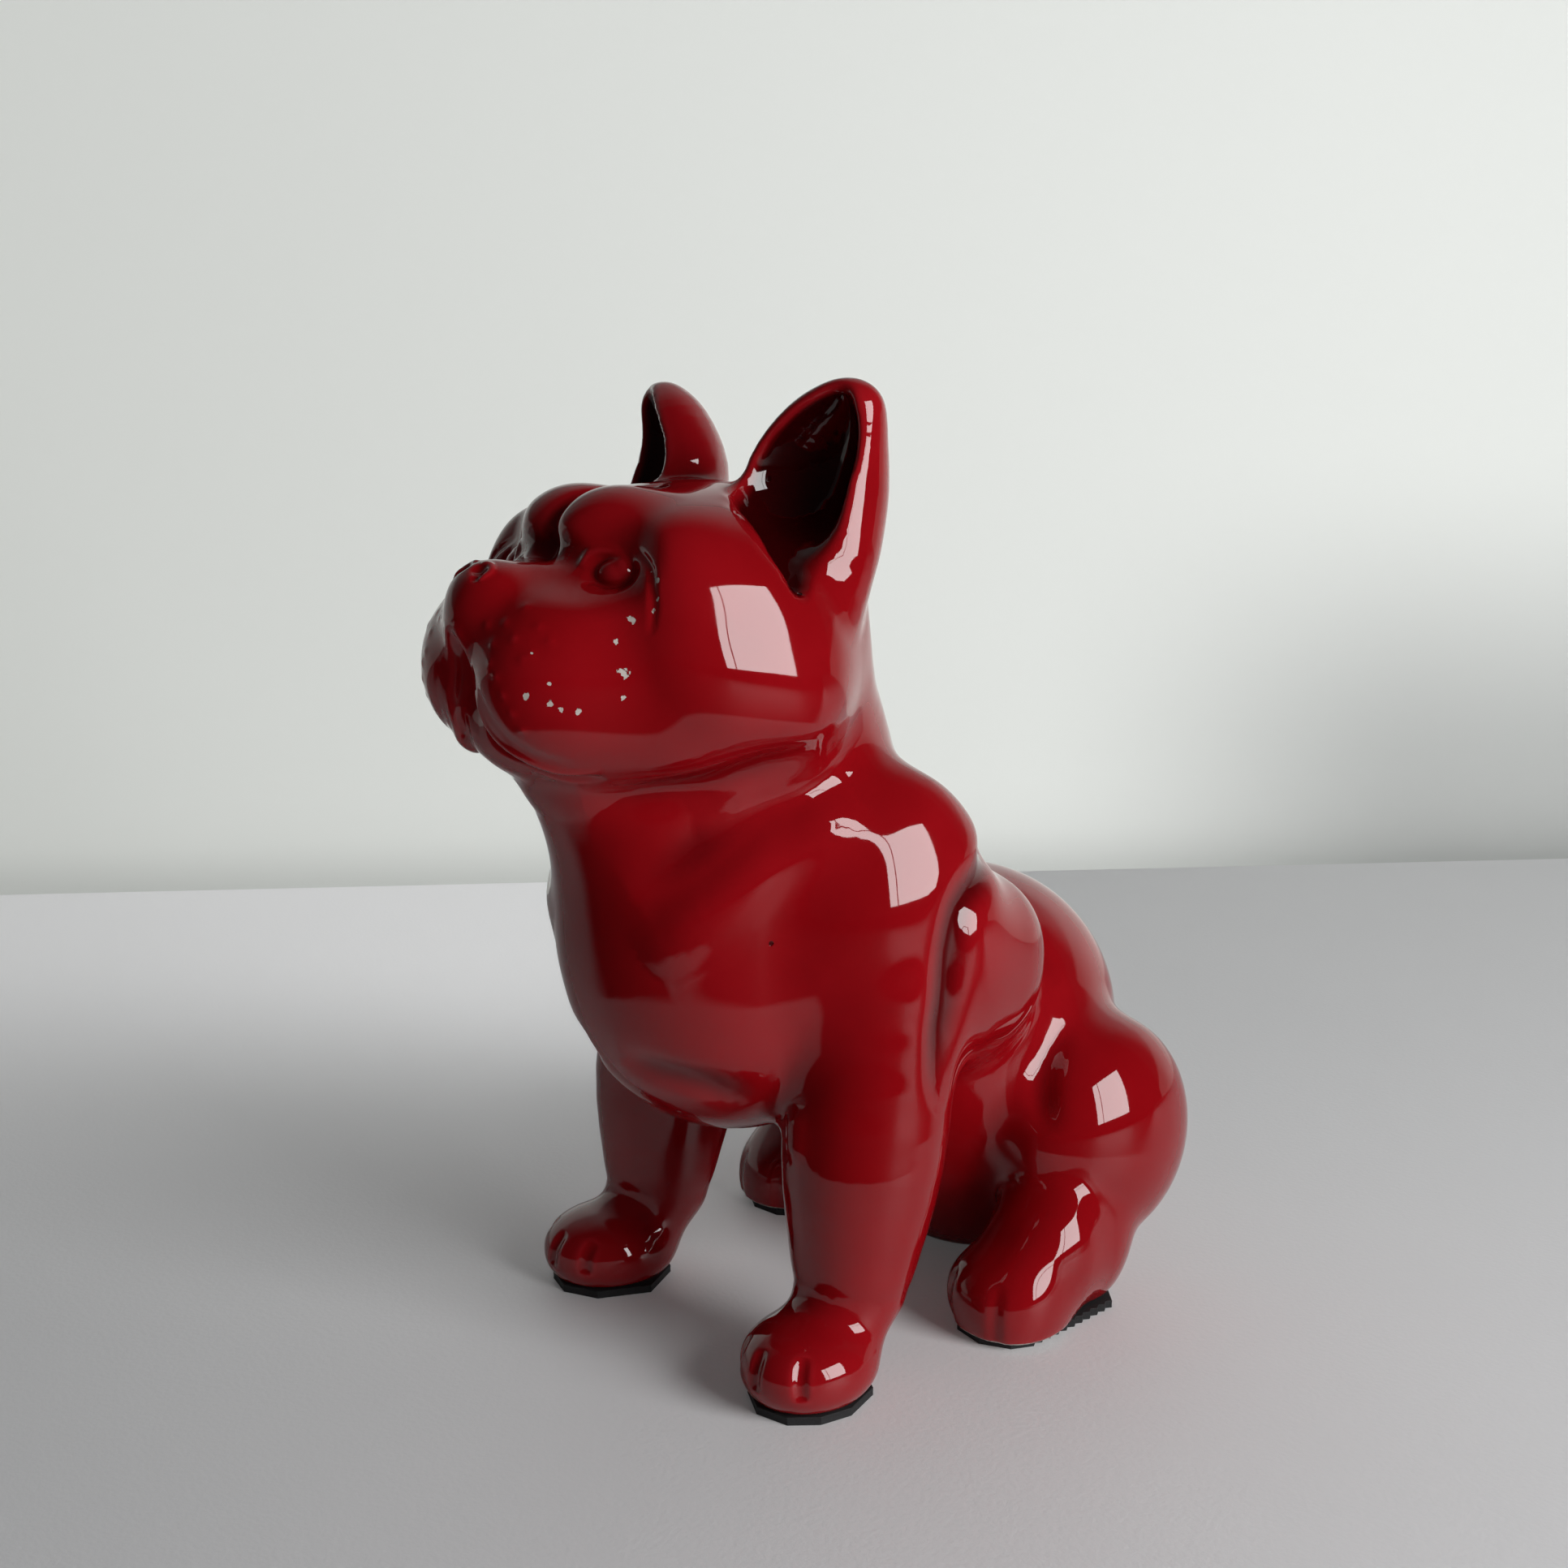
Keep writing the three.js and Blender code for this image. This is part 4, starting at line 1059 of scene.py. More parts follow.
@dataclass
class GlazedBody:
    """The slip-cast dog: its masses, lines and dots in clay, and the glaze on them."""

    anatomy: Anatomy
    glaze: RedGlaze
    name: str = "glazed_body"
    pitch: float = 2.26
    low: Triple = (-78.0, -112.0, -6.0)
    high: Triple = (78.0, 126.0, 268.0)
    sole_rounding: float = 1.4
    drain_rounding: float = 1.0
    fine_net: FineNet = FineNet()

    def trunk(self) -> list[Mass]:
        """Torso, neck, throat, ribs, shoulder and foreleg."""
        a = self.anatomy
        chest, hip, wrist = (partial(offset, at) for at in (a.chest, a.hip, a.wrist))
        back = Lump(chest(0, 38, -15), (47, 40, 47))
        loin = Lump(hip(0, -8, 20), (46, 54, 49))
        rump = Lump(hip(0, 2, -16), (40, 37, 36))
        neck = Limb(((chest(0, 8, 18), 40.5), (chest(0, -2.5, 54), 39.5), (chest(0, -12.5, 80), 35)))
        throat = Limb(((chest(0, -17, 18), 31), (chest(0, -43.5, 52), 22)))
        ribs = Lump(chest(35.5, 41, -10), (24, 31, 27), power=2.2, plan=2.2)
        shoulder = Lump(chest(38.5, 17, 4), (22.5, 31.5, 44), turn=-12, plan=2.3)
        foreleg = Limb(((wrist(-2.5, 11, 74), 21.5), (wrist(-0.2, 4, 34), 21), (a.wrist, 15)))
        paw = Lump(a.paw, a.paw_radii, a.paw_turn, a.squareness)
        return [
            Mass(Lump(a.chest, (45, 51, 55)), 10),
            Mass(back, 14),
            Mass(loin, 16),
            Mass(rump, 14),
            Mass(neck, 14),
            Mass(throat, 16),
            Mass(ribs, 9),
            Mass(shoulder, 10),
            Mass(foreleg, 7),
            Mass(paw, 8),
        ]

    def hind(self) -> list[Mass]:
        """Haunch, lower leg, toes and heel."""
        a = self.anatomy
        toe = partial(offset, a.toe)
        haunch = Lump(offset(a.hip, 46, 5, -4), (23.5, 33, 34.5))
        instep = Lump(toe(2.5, 5.5, 2), (14, 19, 21), power=2.6, plan=2.6, lean=0.7)
        hock = Limb(((toe(2, 16, 11), 15), (toe(2, 27, 10), 14)))
        toes = Lump(a.toe, a.toe_radii, power=a.squareness)
        heel = Lump(a.heel, a.heel_radii, power=a.squareness)
        return [
            Mass(haunch, 10),
            Mass(instep, 7, foot=True),
            Mass(hock, 8, foot=True),
            Mass(toes, 6, foot=True),
            Mass(heel, 12, foot=True),
        ]

    def head(self) -> list[Mass]:
        """Skull, cheek, temple, jaw, brow, muzzle, mouth, chin and nose."""
        a = self.anatomy
        skull, muzzle = (partial(offset, at) for at in (a.skull, a.muzzle))
        cranium = Lump(skull(0, -2, 0), (43.5, 37.5, 32), power=2.6, plan=3.0)
        cheek = Lump(skull(32, -14, -14), (14, 28, 22), turn=-12)
        temple = Lump(
            skull(32.5, -15.5, 0), (16, 23.2, 22.5), turn=-13, power=2.7, plan=3.0, lean=-0.3, tilt=0.23
        )
        jaw = Lump(skull(0, -31, -21), (30, 28, 18))
        pouch = Lump(skull(23.5, -33, -12), (15.5, 30, 22), turn=-28)
        brow = Lump(skull(8, -32, 18), (13, 15, 14))
        flew = Lump(muzzle(12, 0.5, -0.5), (19.5, 24.5, 23.5))
        bridge = Lump(muzzle(0, -8, 11.6), (13, 17, 13.5))
        mouth = Lump(muzzle(0, -26.5, -9), (6.8, 10, 18))
        chin = Lump(muzzle(0, -1, -14), (14, 17, 13.5))
        nose = Lump(muzzle(0, -15.5, 18.5), (6.5, 5, 5))
        return [
            Mass(cranium, 12),
            Mass(cheek, 14),
            Mass(temple, 14),
            Mass(jaw, 12),
            Mass(pouch, 10),
            Mass(brow, 9),
            Mass(flew, 9),
            Mass(bridge, 6),
            Mass(mouth, 2.5, cut=True, pool=False),
            Mass(chin, 4),
            Mass(nose, 8),
        ]

    def eye(self) -> list[Mass]:
        """The soft hollow round the eye, its socket and the eyeball."""
        a = self.anatomy
        eye = partial(offset, a.eye)
        orbit = Lump(eye(3.5, -10, 5), (13, 10.5, 9), a.eye_turn)
        socket = Lump(eye(2.6, -1.6, -0.3), (7, 5.3, 4.9), a.eye_turn)
        eyeball = Lump(eye(0.0, 3.2, -2.0), (4.9, 4, 3.8), a.eye_turn)
        # the socket is a shaded pool, darkened with painted shade and gathered glaze; the orbit is not
        return [Mass(orbit, 9.0, cut=True, pool=False), Mass(socket, 1.6, cut=True), Mass(eyeball, 1.0)]

    def ear(self) -> list[Mass]:
        """The ear's body, the mouth of its hollow and the hollow: stops across, out and up, and radii."""
        a = self.anatomy
        rim = (
            (0, 1, -7.5, 6.6),
            (-5, -1, -15, 10.7),
            (-9, -1.5, -27, 14.2),
            (-9, 3, -42, 13.4),
            (-8, 7, -55, 10),
        )
        mouth = ((-13, 17, -31, 5), (-9, 23, -41, 3))
        cup = (
            (-1.5, 6.5, -4, 1.2),
            (-4, 6.5, -9.5, 4.6),
            (-7.8, 7, -16, 8.2),
            (-12.8, 8.5, -25, 10.8),
            (-9.6, 16, -34, 7.4),
            (-7.5, 23, -43, 4),
            (-6.4, 27, -50, 1.5),
        )
        # the ear's mouth and hollow are shaded pools, darkened with painted shade and gathered glaze
        return [
            Mass(EarForm(a.ear_tip, rim, a.ear_turn, 1.24), 5),
            Mass(EarForm(a.ear_tip, mouth, a.ear_turn, 1.2), 8, cut=True),
            Mass(EarForm(a.ear_tip, cup, a.ear_turn, 1.25), 2.6, cut=True),
        ]

    def brow_lines(self) -> list[Stroke]:
        """The furrow between the brows, the stop above the nose, the lids and the fold behind the eye."""
        a = self.anatomy
        furrow = run(a.skull, (0, -46, 21), (0, -38, 30), (0, -24, 34), (0, -6, 34))
        stop = run(a.skull, (0, -47, 20), (8, -47.5, 19), (16, -46.5, 17))
        upper_lid = run(
            a.eye,
            (-5.8, -3.6, 0),
            (-5.4, -1.8, 2.4),
            (-3, -0.4, 3.8),
            (0.2, 1.4, 3.6),
            (3.8, 2.8, 1),
            (6.5, 3, -3),
        )
        lower_lid = run(a.eye, (-2.2, -3.5, -4), (1.2, -1.9, -6), (5, 0.6, -6.2))
        fold = run(
            a.eye, (5.4, 0.5, 5.5), (12.2, 1.3, 1.6), (15.8, 1.1, -4), (17.4, 0.5, -9), (17.6, 0, -15)
        )
        return [
            Stroke(2.6, 2.2, furrow, (0, 0.5)),
            Stroke(2.6, 3.4, stop, (0, 0.6)),
            Stroke(-0.9, 1.3, upper_lid, (0.3, 0.3)),
            Stroke(-0.4, 1.3, lower_lid, (0.3, 0.3)),
            Stroke(0.8, 1.0, fold, (0.3, 0.4)),
        ]

    def lip_lines(self) -> list[Stroke]:
        """The lip's raised rim, the grooves on both sides of it, and the nostril's curl."""
        at = self.anatomy.muzzle
        rim = run(
            at,
            (1.6, -25, 12),
            (2.2, -24.5, 6),
            (4.1, -22, 0),
            (7, -21, -8),
            (9, -18, -14.5),
            (14, -15, -20),
            (19, -8.5, -23.5),
            (26, 0, -23),
        )
        outer = run(at, (7, -25, 2), (11, -23, -7), (14.5, -19.5, -14.5), (19, -14, -19.5), (24, -7, -21))
        inner = run(
            at, (5.2, -20, -9), (6.8, -17, -16), (12.5, -13, -22.5), (18, -6.5, -26.3), (25, 1, -26.5)
        )
        curl = run(at, (1.2, -16.5, 25.4), (4, -15.8, 24.8), (5.8, -17.2, 23), (4.6, -19.6, 21))
        slit = run(at, (3, -18.4, 23.5), (4.3, -18.6, 22), (3.4, -20.5, 20.8))
        return [
            Stroke(-1.0, 1.4, rim, (0.3, 0.2)),
            Stroke(0.45, 2.0, outer, (0.3, 0.3)),
            Stroke(1.8, 1.5, inner, (0.35, 0.2)),
            Stroke(-0.9, 0.8, curl, (0.2, 0.2)),
            Stroke(1.0, 0.8, slit, (0, 0.4)),
        ]

    def neck_lines(self) -> list[Stroke]:
        """Two folds across neck and shoulder, each a groove and a ridge, and the breast line."""
        at = self.anatomy.chest
        upper_groove = run(at, (14, -60, 44), (28, -44, 48), (39, -32, 52), (46, -14, 60))
        upper_ridge = run(at, (30, -38, 38), (42, -22, 44), (45, -4, 54))
        lower_groove = run(at, (19, -49, 19), (31, -37, 31), (40, -22, 42), (46, -2, 50))
        lower_ridge = run(at, (20, -47, 3), (32, -37, 16), (42, -15, 34), (47, 1, 45))
        breast = run(at, (6, -44, -26), (18, -41, -29), (27, -31, -33), (30, -22, -42))
        return [
            Stroke(2.0, 6, upper_groove),
            Stroke(-1.8, 6, upper_ridge),
            Stroke(2.4, 8, lower_groove),
            Stroke(-3.2, 8, lower_ridge),
            Stroke(2.4, 5, breast),
        ]

    def leg_lines(self) -> list[Stroke]:
        """The crease behind the shoulder, waist, haunch, elbow and wrist."""
        a = self.anatomy
        crease = run(
            a.chest, (46, 46, 27), (54, 34, 20), (59, 23, 13), (62, 18, -5), (62, 15, -20), (61, 12, -38)
        )
        waist = run(a.chest, (30, 66, 18), (36, 72, -4), (44, 82, -22))
        haunch = run(a.hip, (46, -8, 31), (49, -18, 22), (52, -23, 14), (56, -24, 4))
        elbow = run(a.chest, (44, -20, -8), (38, -24, -15))
        wrist = run(a.wrist, (-4, -16, 46), (-3.5, -18, 41))
        return [
            Stroke(3.4, 5.0, crease, (0.1, 0.3)),
            Stroke(1.2, 1.4, crease, (0.15, 0.3)),
            Stroke(2.0, 6, waist),
            Stroke(2.0, 4, haunch),
            Stroke(-1.6, 4.5, elbow, (0.3, 0.3)),
            Stroke(-1.9, 3.6, wrist, (0, 0)),
        ]

    def toe_lines(self) -> list[Stroke]:
        """The dip across the forepaw, and the grooves between the toes of paw and hind foot."""
        a = self.anatomy
        made = [Stroke(2.0, 8.0, run(a.paw, (-9, -9, 10), (7, -12, 10)), (0.3, 0.3))]
        for across, forward in ((-10, -16), (1, -19), (12, -13.5)):
            front = offset(a.paw, across, forward, 4)
            made.append(Stroke(2.0, 1.5, run(front, (-1, 2, 6), (0, 0, 0), (0.5, 0, -6)), (0.5, 0.2)))
        for side in (-1, 1):
            groove = run(a.toe, (side * 8.4, -11, 9), (side * 9.6, -14, 1), (side * 9.6, -14, -7))
            made.append(Stroke(0.9, 1.9, groove, (0.5, 0), foot=True))
        return made

    def dots(self) -> list[Mark]:
        """The whisker pads' bumps, the front row a little higher than the others, and the nostrils."""
        at = self.anatomy.muzzle
        front = run(
            at,
            (14.7, -23.4, 3.6),
            (16.8, -23.3, 0.5),
            (18.3, -22.4, -3.6),
            (19.4, -20.9, -7.9),
            (20.1, -18.6, -11.8),
        )
        upper = run(at, (17.5, -15.2, 16.3), (15.5, -19.3, 12.7), (10.8, -21.4, 11.9), (22.8, -15.2, 12.1))
        lower = run(
            at,
            (14.3, -22.2, 8),
            (19.4, -19.7, 9.3),
            (25.7, -14.1, 8.9),
            (22.4, -19.5, 5),
            (23.6, -18.1, 5.9),
        )
        nostril = offset(at, 3.0, -18.4, 23.7)
        return [
            *(Mark(-0.24, 1.1, spot) for spot in front),
            *(Mark(-0.22, 1.2, spot) for spot in upper + lower),
            Mark(2.8, 1.3, nostril),
        ]

    def ground(self, p: Array) -> Array:
        """Height of the points p over the pads' tops."""
        return p[:, 2] - self.anatomy.pad_thickness

    def drain(self, p: Array) -> Array:
        """Distance to the round hole under the rump: the greater of those to its side and its end."""
        a = self.anatomy
        side = np.hypot(p[:, 0] - a.hip[0], p[:, 1] - a.hip[1]) - a.drain_radius
        return np.maximum(side, self.ground(p) - a.drain_depth)

    def clay(self) -> Clay:
        """The whole field, with the soles cut flat and the drain hole under the rump."""
        masses = self.trunk() + self.hind() + self.head() + self.eye() + self.ear()
        strokes = self.brow_lines() + self.lip_lines() + self.neck_lines()
        strokes += self.leg_lines() + self.toe_lines()
        trims = [(self.ground, self.sole_rounding), (self.drain, self.drain_rounding)]
        return Clay(masses, strokes, self.dots(), self.anatomy.right_foot_back, trims)

    def netted(self, clay: Clay) -> Skin:
        """The net on the clay, even, and refined twice where the forms are small."""
        skin = Skin(clay, self.low, self.high, self.pitch)
        skin.project(2)
        skin.relax(3)
        skin.project(1)
        for level in range(2):
            skin.refine(self.fine_net.chosen(skin.points, self.anatomy)[level])
            skin.project(1)
            skin.relax(2)
            skin.project(1)
        return skin

    def build(self, origin: Array) -> bpy.types.Object:
        """Nets the clay and puts the piece in place, with what the glaze needs to know stored on it.

        Args:
            origin: the row frame's origin in the clay's frame, in mm.

        Returns:
            The glazed body.
        """
        clay = self.clay()
        skin = self.netted(clay)
        normals = clay.normal(skin.points)
        LOG.info("%s: %d points, %d triangles", self.name, len(skin.points), len(skin.faces))
        material = self.glaze.material(clay, origin, self.anatomy.pad_thickness)
        made = put_mesh(self.name, skin.points - origin, skin.faces, material)
        made.data.normals_split_custom_set_from_vertices(normals.astype(np.float32).tolist())
        # pooled_and_shaded: depth in the hollows, read by the glaze for painted shade and gathered glaze
        stored = {"hollow": skin.hollowness(normals), "pooled_and_shaded": clay.pooled_and_shaded(skin.points)}
        for label, values in stored.items():
            layer = made.data.attributes.new(label, "FLOAT", "POINT")
            layer.data.foreach_set("value", values.astype(np.float32))
        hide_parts("body")
        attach(made, "root")
        return made


@dataclass(frozen=True)
class Sole:
    """The flat oval that the ground leaves on a squared ellipsoid: its middle, radii and turn."""

    middle: Pair
    radii: Pair
    turn: float

    @staticmethod
    def under(lump: Lump, height: float) -> "Sole":
        """The sole of a lump that is cut level at a height."""
        drop = (lump.at[2] - height) / lump.radii[2]
        share = (1.0 - drop**lump.power) ** (1.0 / lump.power)
        return Sole(lump.at[:2], (lump.radii[0] * share, lump.radii[1] * share), lump.turn)

    def reach(self, along: Array) -> Array:
        """How far the oval reaches along unit directions."""
        across, forth = turned(along[:, 0], along[:, 1], self.turn)
        return along @ np.array(self.middle) + np.hypot(self.radii[0] * across, self.radii[1] * forth)


class Side(Enum):
    """Which side of the dog a pad is on."""

    LEFT = 1.0
    RIGHT = -1.0


@dataclass
class RubberPad:
    """A pad of sheet rubber, cut round a foot with straight snips of the scissors; sizes in mm."""

    name: str
    node: str
    soles: list[Sole]
    cuts: tuple[float, ...]
    side: Side
    rubber: bpy.types.Material
    thickness: float
    back: float = 0.0
    scalloped: bool = False
    margin: float = 0.9
    snip_pitch: float = 3.4
    snip_depth: float = 1.0
    snip_bow: float = 0.3
    step: float = 0.9
    flat_width: float = 3.0
    edge_rounding: float = 0.12
    edge_hollow: float = 0.05

    def outline(self) -> Array:
        """The cut outline: each snip is a straight line a margin outside the soles.

        A corner is where two snips meet: the solution of the two lines' equations.
        """
        angles = np.radians(np.array(self.cuts))
        way = np.stack([np.cos(angles), np.sin(angles)], 1)
        reach = np.max([sole.reach(way) for sole in self.soles], 0) + self.margin
        next_way, next_reach = np.roll(way, -1, 0), np.roll(reach, -1)
        across = reach * next_way[:, 1] - next_reach * way[:, 1]
        forth = next_reach * way[:, 0] - reach * next_way[:, 0]
        turn = way[:, 0] * next_way[:, 1] - way[:, 1] * next_way[:, 0]
        corners = np.stack([across / turn, forth / turn], 1)
        if self.scalloped:
            corners = self._notched(corners)
        corners[:, 0] *= self.side.value
        corners[:, 1] += self.back
        return corners[::-1] if self.side is Side.RIGHT else corners

    def _notched(self, corners: Array) -> Array:
        """Short bites of the scissors along the outline's first side, which is a little bowed."""
        a, b = corners[0], corners[1]
        bites = round(float(np.linalg.norm(b - a)) / self.snip_pitch)
        share = np.arange(1, 2 * bites)[:, None] / (2 * bites)
        inward = np.array([a[1] - b[1], b[0] - a[0]]) / np.linalg.norm(b - a)
        bite = (np.arange(1, 2 * bites) % 2)[:, None] * self.snip_depth
        added = a + share * (b - a) + (bite - self.snip_bow * np.sin(math.pi * share)) * inward
        return np.vstack([corners[:1], added, corners[1:]])

    def edge(self) -> Array:
        """Points along the outline, about a step apart."""
        corners = self.outline()
        after = np.roll(corners, -1, 0)
        pieces = np.maximum(1, np.round(np.linalg.norm(after - corners, axis=1) / self.step).astype(int))
        share = np.concatenate([np.arange(n) / n for n in pieces])[:, None]
        return np.repeat(corners, pieces, 0) * (1 - share) + np.repeat(after, pieces, 0) * share

    def profile(self) -> list[Pair]:
        """The cut edge from below to above: pairs of how far inside the outline and how high it runs."""
        half = [
            (self.flat_width, 0.0),
            (self.edge_rounding, 0.0),
            (0.0, self.edge_rounding),
        ]
        waist = (self.edge_hollow, 0.5 * self.thickness)
        return [*half, waist, *((inset, self.thickness - height) for inset, height in reversed(half))]

    @staticmethod
    def _faces(many: int, rings: int) -> Array:
        """Triangles between rings of points, closed by a fan below and one above.

        Args:
            many: how many points a ring has.
            rings: how many rings there are; the two middles come after them.

        Returns:
            The triangles' point numbers.
        """
        i = np.arange(many)
        j = (i + 1) % many
        faces = []
        for level in range(rings - 1):
            a, b = i + level * many, j + level * many
            faces += [np.stack([a, b, b + many], 1), np.stack([a, b + many, a + many], 1)]
        bottom, last = np.full(many, rings * many), (rings - 1) * many
        faces += [np.stack([bottom, j, i], 1), np.stack([bottom + 1, i + last, j + last], 1)]
        return np.vstack(faces)

    def build(self, origin: Array) -> bpy.types.Object:
        """Carries the cut edge's profile round the outline and closes it above and below.

        Args:
            origin: the row frame's origin in the clay's frame, in mm.

        Returns:
            The pad.
        """
        line = self.edge()
        middle = line.mean(0)
        inward = (middle - line) / np.linalg.norm(middle - line, axis=1)[:, None]
        level = np.ones(len(line))
        rings = [np.column_stack([line + inset * inward, z * level]) for inset, z in self.profile()]
        points = np.vstack([*rings, [*middle, 0.0], [*middle, self.thickness]])
        made = put_mesh(self.name, points - origin, self._faces(len(line), len(rings)), self.rubber)
        made.data.polygons.foreach_set("use_smooth", np.zeros(len(made.data.polygons), dtype=bool))
        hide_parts(self.node)
        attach(made, "root")
        LOG.info("%s: %d triangles", self.name, len(made.data.polygons))
        return made


@dataclass
class Studio:
    """A pale table and wall, one window-like lamp at the side, and the photograph's camera.

    Lengths are in metres and directions in degrees. A pair of distances, heights or levels is where
    an effect starts and where it is full.
    """

    reach: float = 6.0
    wall_distance: float = 0.545
    wall_turn: float = 5.5
    wall_height: float = 4.0
    cove_radius: float = 0.05
    table_colour: Triple = (0.80, 0.80, 0.81)
    table_brightness: Pair = (0.94, 1.04)
    table_cloud_mm: float = 300.0
    leather_mm: float = 1.6
    leather_height: float = 0.3
    leather_strength: float = 0.25
    table_end: Pair = (0.205, 0.235)
    table_end_front: Pair = (0.0, 0.08)
    table_beyond: Triple = (0.02, 0.02, 0.02)
    table_glow: float = 0.03
    painted_window_light: float = 0.30
    glow_back: Pair = (0.05, -0.35)
    glow_left: Pair = (-0.15, 0.15)
    wall_colour: Triple = (0.60, 0.615, 0.60)
    wall_glow: Triple = (0.34, 0.35, 0.33)
    shade_share: float = 0.95
    shade_aside: Pair = (0.12, 0.38)
    shade_height: Pair = (0.24, 0.03)
    foot_height: Pair = (-0.01, 0.02)
    foot_share: float = 0.3
    mirrored_height: Pair = (0.58, 0.40)
    camera_place: Triple = (0.383148, -0.330201, 0.250172)
    camera_azimuth: float = 50.009
    camera_pitch: float = 11.165
    camera_clip: float = 0.01
    focal_px: float = 2300.0
    sensor_mm: float = 36.0
    window_azimuth: float = 101.0
    window_elevation: float = 18.0
    window_distance: float = 1.2
    window_aim: float = 0.13
    window_watts: float = 14.0
    pane_height: float = 0.70
    panes: tuple[Pair, ...] = ((-0.27, 0.12), (0.065, 0.52))
    room_colour: Triple = (0.80, 0.83, 0.85)
    room_level: float = 0.08
    room_level_mirrored: float = 0.015

    def sheet(self, name: str, rows: list[tuple[Vector, Vector]], material: bpy.types.Material) -> None:
        """A sheet of the stage through rows of two points, left and right, one row after another."""
        points = [tuple(point) for row in rows for point in row]
        faces = [(2 * i, 2 * i + 1, 2 * i + 3, 2 * i + 2) for i in range(len(rows) - 1)]
        mesh = bpy.data.meshes.new(name)
        mesh.from_pydata(points, [], faces)
        mesh.polygons.foreach_set("use_smooth", np.ones(len(faces), dtype=bool))
        mesh.materials.append(material)
        made = placed(name, mesh)
        made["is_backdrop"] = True

    @staticmethod
    def aim(made: bpy.types.Object, place: Vector, back: Vector) -> None:
        """Puts a lamp or camera at a place, with its back to a direction."""
        made.location = place
        made.rotation_mode = "QUATERNION"
        made.rotation_quaternion = (-back).to_track_quat("-Z", "Y")

    def along(self, bench: Bench, turn: float = 0.0) -> Signal:
        """How far a place lies towards the camera, or along the level direction turned from there."""
        return bench.along(tuple(facing(self.camera_azimuth + turn, 0.0)))

    def table_finish(self) -> bpy.types.Material:
        """Pale matt table cloth with a faint leather grain.

        In the glaze it ends a little way in front of the figurine, and to the camera it glows a little, with painted
        window light added far back on the left.
        """
        bench = Bench("pale_table")
        dim, bright = (opaque(self.table_colour, level) for level in self.table_brightness)
        cloth = bench.mix(bench.noise(self.table_cloud_mm, 3.0), dim, bright)
        front, left = self.along(bench), self.along(bench, -90.0)
        ended = bench.gap((0.0, 0.0, 0.0)).rise(*self.table_end) * front.rise(*self.table_end_front)
        # painted light: a camera-only glow far back on the left stands in for the window's light there
        far = front.rise(*self.glow_back) * left.rise(*self.glow_left)
        level = bench.ray("Is Camera Ray") * (self.table_glow + far * self.painted_window_light)
        grain = bench.noise(self.leather_mm, 3.0) * self.leather_height
        varying = {
            "Base Color": bench.mix(ended * bench.ray("Is Glossy Ray"), cloth, opaque(self.table_beyond)),
            "Emission Color": bench.mix(level, BLACK, WHITE),
            "Normal": bench.bump(grain, self.leather_strength),
        }
        return bench.finish({"Roughness": 0.55, "Emission Strength": 1.0}, varying)

    def wall_finish(self) -> bpy.types.Material:
        """Pale matt wall, open when seen from behind so that it never hides the figurine.

        It glows to the camera, less in the shade at the lower right and near the table, and its lower
        part glows in the glaze too.
        """
        bench = Bench("pale_wall")
        height = bench.height()
        shade = self.along(bench, 90.0).rise(*self.shade_aside) * height.rise(*self.shade_height)
        foot = height.rise(*self.foot_height) * self.foot_share + (1.0 - self.foot_share)
        seen = bench.ray("Is Camera Ray") * (1.0 - shade * self.shade_share) * foot
        mirrored = bench.ray("Is Glossy Ray") * height.rise(*self.mirrored_height)
        glow = bench.mix(seen.most(mirrored), BLACK, opaque(self.wall_glow))
        constants = {"Roughness": 0.8, "Base Color": opaque(self.wall_colour), "Emission Strength": 1.0}
        bench.finish(constants, {"Emission Color": glow})
        clear = bench.node("BsdfTransparent").outputs[0]
        behind = bench.node("NewGeometry").outputs["Backfacing"]
        both = bench.node("MixShader", None, {0: behind, 1: bench.shader.outputs[0], 2: clear})
        bench.tree.links.new(both.outputs[0], bench.output.inputs["Surface"])
        return bench.material

    def wall_rows(self) -> list[tuple[Vector, Vector]]:
        """The wall's rows: a quarter of a round cove up from the table, then straight up."""
        away = facing(self.camera_azimuth + 180.0 + self.wall_turn, 0.0)
        across = Vector((-away.y, away.x, 0.0)) * self.reach
        middle, radius = self.wall_distance - self.cove_radius, self.cove_radius
        turns = [math.radians(turn) for turn in range(0, 91, 10)]
        profile = [(middle + radius * math.sin(turn), radius * (1.0 - math.cos(turn))) for turn in turns]
        profile.append((self.wall_distance, self.wall_height))
        feet = [away * reach + Vector((0.0, 0.0, height)) for reach, height in profile]
        return [(foot + across, foot - across) for foot in feet]

    def window(self) -> None:
        """Two upright panes side by side, a narrow one and a wide one, that face the figurine's middle."""
        back = facing(self.window_azimuth, self.window_elevation)
        across = facing(self.window_azimuth + 90.0, 0.0)
        centre = Vector((0.0, 0.0, self.window_aim)) + back * self.window_distance
        for number, (middle, width) in enumerate(self.panes):
            data = bpy.data.lights.new(f"window_{number}", "AREA")
            data.shape = "RECTANGLE"
            data.size, data.size_y = width, self.pane_height
            data.energy = self.window_watts * width / sum(pane[1] for pane in self.panes)
            self.aim(placed(data.name, data), centre + across * middle, back)

    def camera(self) -> None:
        """The photograph's camera: place, direction and focal length in pixels over its side."""
        data = bpy.data.cameras.new("camera")
        data.sensor_width = self.sensor_mm
        data.lens = self.focal_px / PHOTO_SIDE_PX * self.sensor_mm
        data.clip_start = self.camera_clip
        made = placed("camera", data)
        self.aim(made, Vector(self.camera_place), facing(self.camera_azimuth, self.camera_pitch))
        bpy.context.scene.camera = made

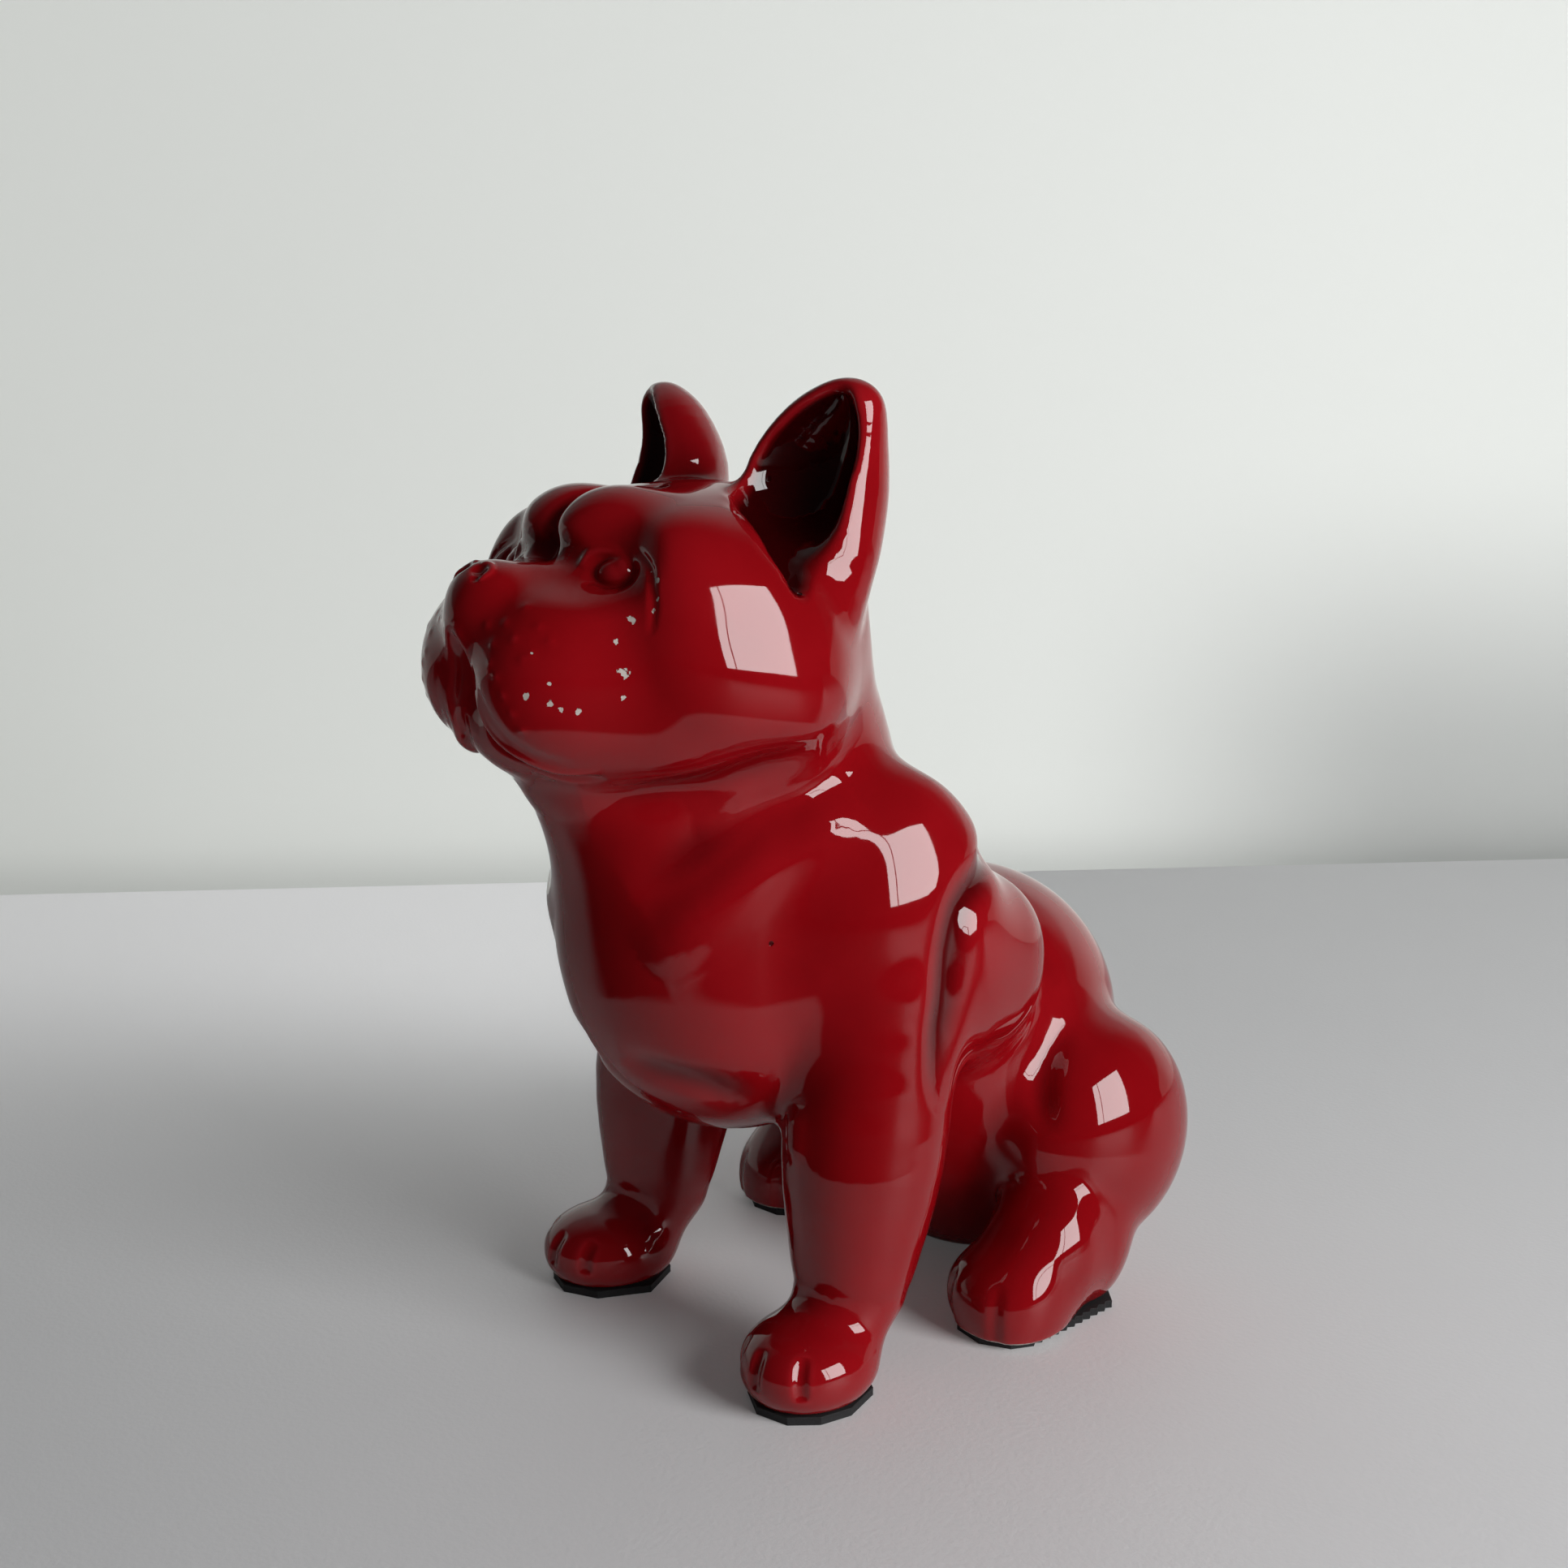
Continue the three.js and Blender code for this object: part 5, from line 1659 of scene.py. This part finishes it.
    def room(self) -> None:
        """The light from all round, dimmer in the glaze than on the table and wall."""
        world = bpy.data.worlds.new("room")
        bpy.context.scene.world = world
        world.use_nodes = True
        background = world.node_tree.nodes["Background"]
        background.inputs["Color"].default_value = opaque(self.room_colour)
        level = world.node_tree.nodes.new("ShaderNodeMix")
        level.inputs["A"].default_value = self.room_level
        level.inputs["B"].default_value = self.room_level_mirrored
        path = world.node_tree.nodes.new("ShaderNodeLightPath")
        world.node_tree.links.new(path.outputs["Is Glossy Ray"], level.inputs["Factor"])
        world.node_tree.links.new(level.outputs["Result"], background.inputs["Strength"])

    def build(self) -> None:
        """Makes the stage, the lamps, the room's light and the camera."""
        edges = (-self.reach, self.reach)
        floor = [(Vector((-self.reach, side, 0.0)), Vector((self.reach, side, 0.0))) for side in edges]
        self.sheet("table", floor, self.table_finish())
        self.sheet("wall", self.wall_rows(), self.wall_finish())
        self.window()
        self.room()
        self.camera()
        bpy.context.scene.view_settings.view_transform = "Standard"


def facing(azimuth: float, elevation: float) -> Vector:
    """The unit direction at an azimuth, from -Y towards +X, and an elevation, in degrees."""
    a, e = math.radians(azimuth), math.radians(elevation)
    return Vector((math.sin(a) * math.cos(e), -math.cos(a) * math.cos(e), math.sin(e)))


@dataclass
class Figurine:
    """The dog and its pads, all placed from one anatomy.

    The cuts are the directions that the snips round a pad face, in degrees from +X towards +Y.
    """

    anatomy: Anatomy = Anatomy()
    paw_cuts: tuple[float, ...] = (20, 62, 110, 150, 205, 243, 285, 322, 350)
    foot_cuts: tuple[float, ...] = (335, 2, 50, 95, 140, 182, 226, 262, 300)
    chips: tuple[Chip, ...] = (
        Chip((34.4, -76.2, 204.5), 0.88),
        Chip((33.4, -79.9, 199.5), 0.64),
        Chip((35.5, -78.8, 192.7), 1.28),
        Chip((23.2, -97.9, 187.7), 0.96),
        Chip((27.1, -93.8, 190.4), 0.48),
        Chip((26.8, -93.7, 185.8), 0.72),
        Chip((28.1, -91.4, 184.3), 0.56),
        Chip((30.1, -87.9, 183.8), 0.72),
        Chip((34.9, -79.2, 186.7), 0.64),
        Chip((33.9, -72.0, 216.1), 0.56),
        Chip((37.0, -71.3, 213.7), 0.72),
        Chip((37.4, -72.1, 211.0), 0.40),
        Chip((38.4, -72.0, 209.2), 0.72),
        Chip((38.2, -73.0, 206.6), 0.72),
        Chip((23.9, -96.5, 197.3), 0.40),
    )
    pinholes: Points = (
        (28.4, -60.4, 127.4),
        (32.8, -56.3, 125.2),
        (35.1, -51.3, 121.7),
        (40.7, -39.9, 122.3),
        (19.7, -23.1, 234.7),
        (47.2, -36.4, 208.4),
    )

    def sole(self, at: Triple, radii: Triple, turn: float = 0.0) -> Sole:
        """The flat oval under a paw, a row of toes or a heel."""
        return Sole.under(Lump(at, radii, turn, self.anatomy.squareness), self.anatomy.pad_thickness)

    def pads(self) -> list[RubberPad]:
        """The four pads, front and hind on the left and then on the right."""
        a = self.anatomy
        rubber = CutRubber().material()
        paw = [self.sole(a.paw, a.paw_radii, a.paw_turn)]
        foot = [self.sole(a.toe, a.toe_radii), self.sole(a.heel, a.heel_radii)]
        made = []
        for side in Side:
            word = side.name.lower()
            back = a.right_foot_back if side is Side.RIGHT else 0.0
            shared = (side, rubber, a.pad_thickness)
            name = f"front_{word}_pad"
            made.append(RubberPad(f"{name}_rubber", name, paw, self.paw_cuts, *shared))
            name = f"hind_{word}_pad"
            made.append(RubberPad(f"{name}_rubber", name, foot, self.foot_cuts, *shared, back, True))
        return made

    def build(self) -> None:
        """Finds the row frame's origin from a pad that both models share, and builds every piece."""
        pads = self.pads()
        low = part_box(pads[0].node)[0]
        corner = pads[0].outline().min(0)
        origin = np.array([corner[0] - low.x / MM, corner[1] - low.y / MM, 0.0])
        LOG.info("row origin in the clay's frame: %s mm", np.round(origin, 3))
        for pad in pads:
            pad.build(origin)
        GlazedBody(self.anatomy, RedGlaze(self.chips, self.pinholes)).build(origin)


def main() -> None:
    """Builds the figurine round the frame, then the studio."""
    logging.basicConfig(level=logging.INFO, format="%(name)s: %(message)s")
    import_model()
    cad_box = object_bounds()
    Figurine().build()
    Studio().build()
    boxes = {name: [list(corner) for corner in box] for name, box in (("cad", cad_box), ("visual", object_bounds()))}


if __name__ == "__main__":
    main()
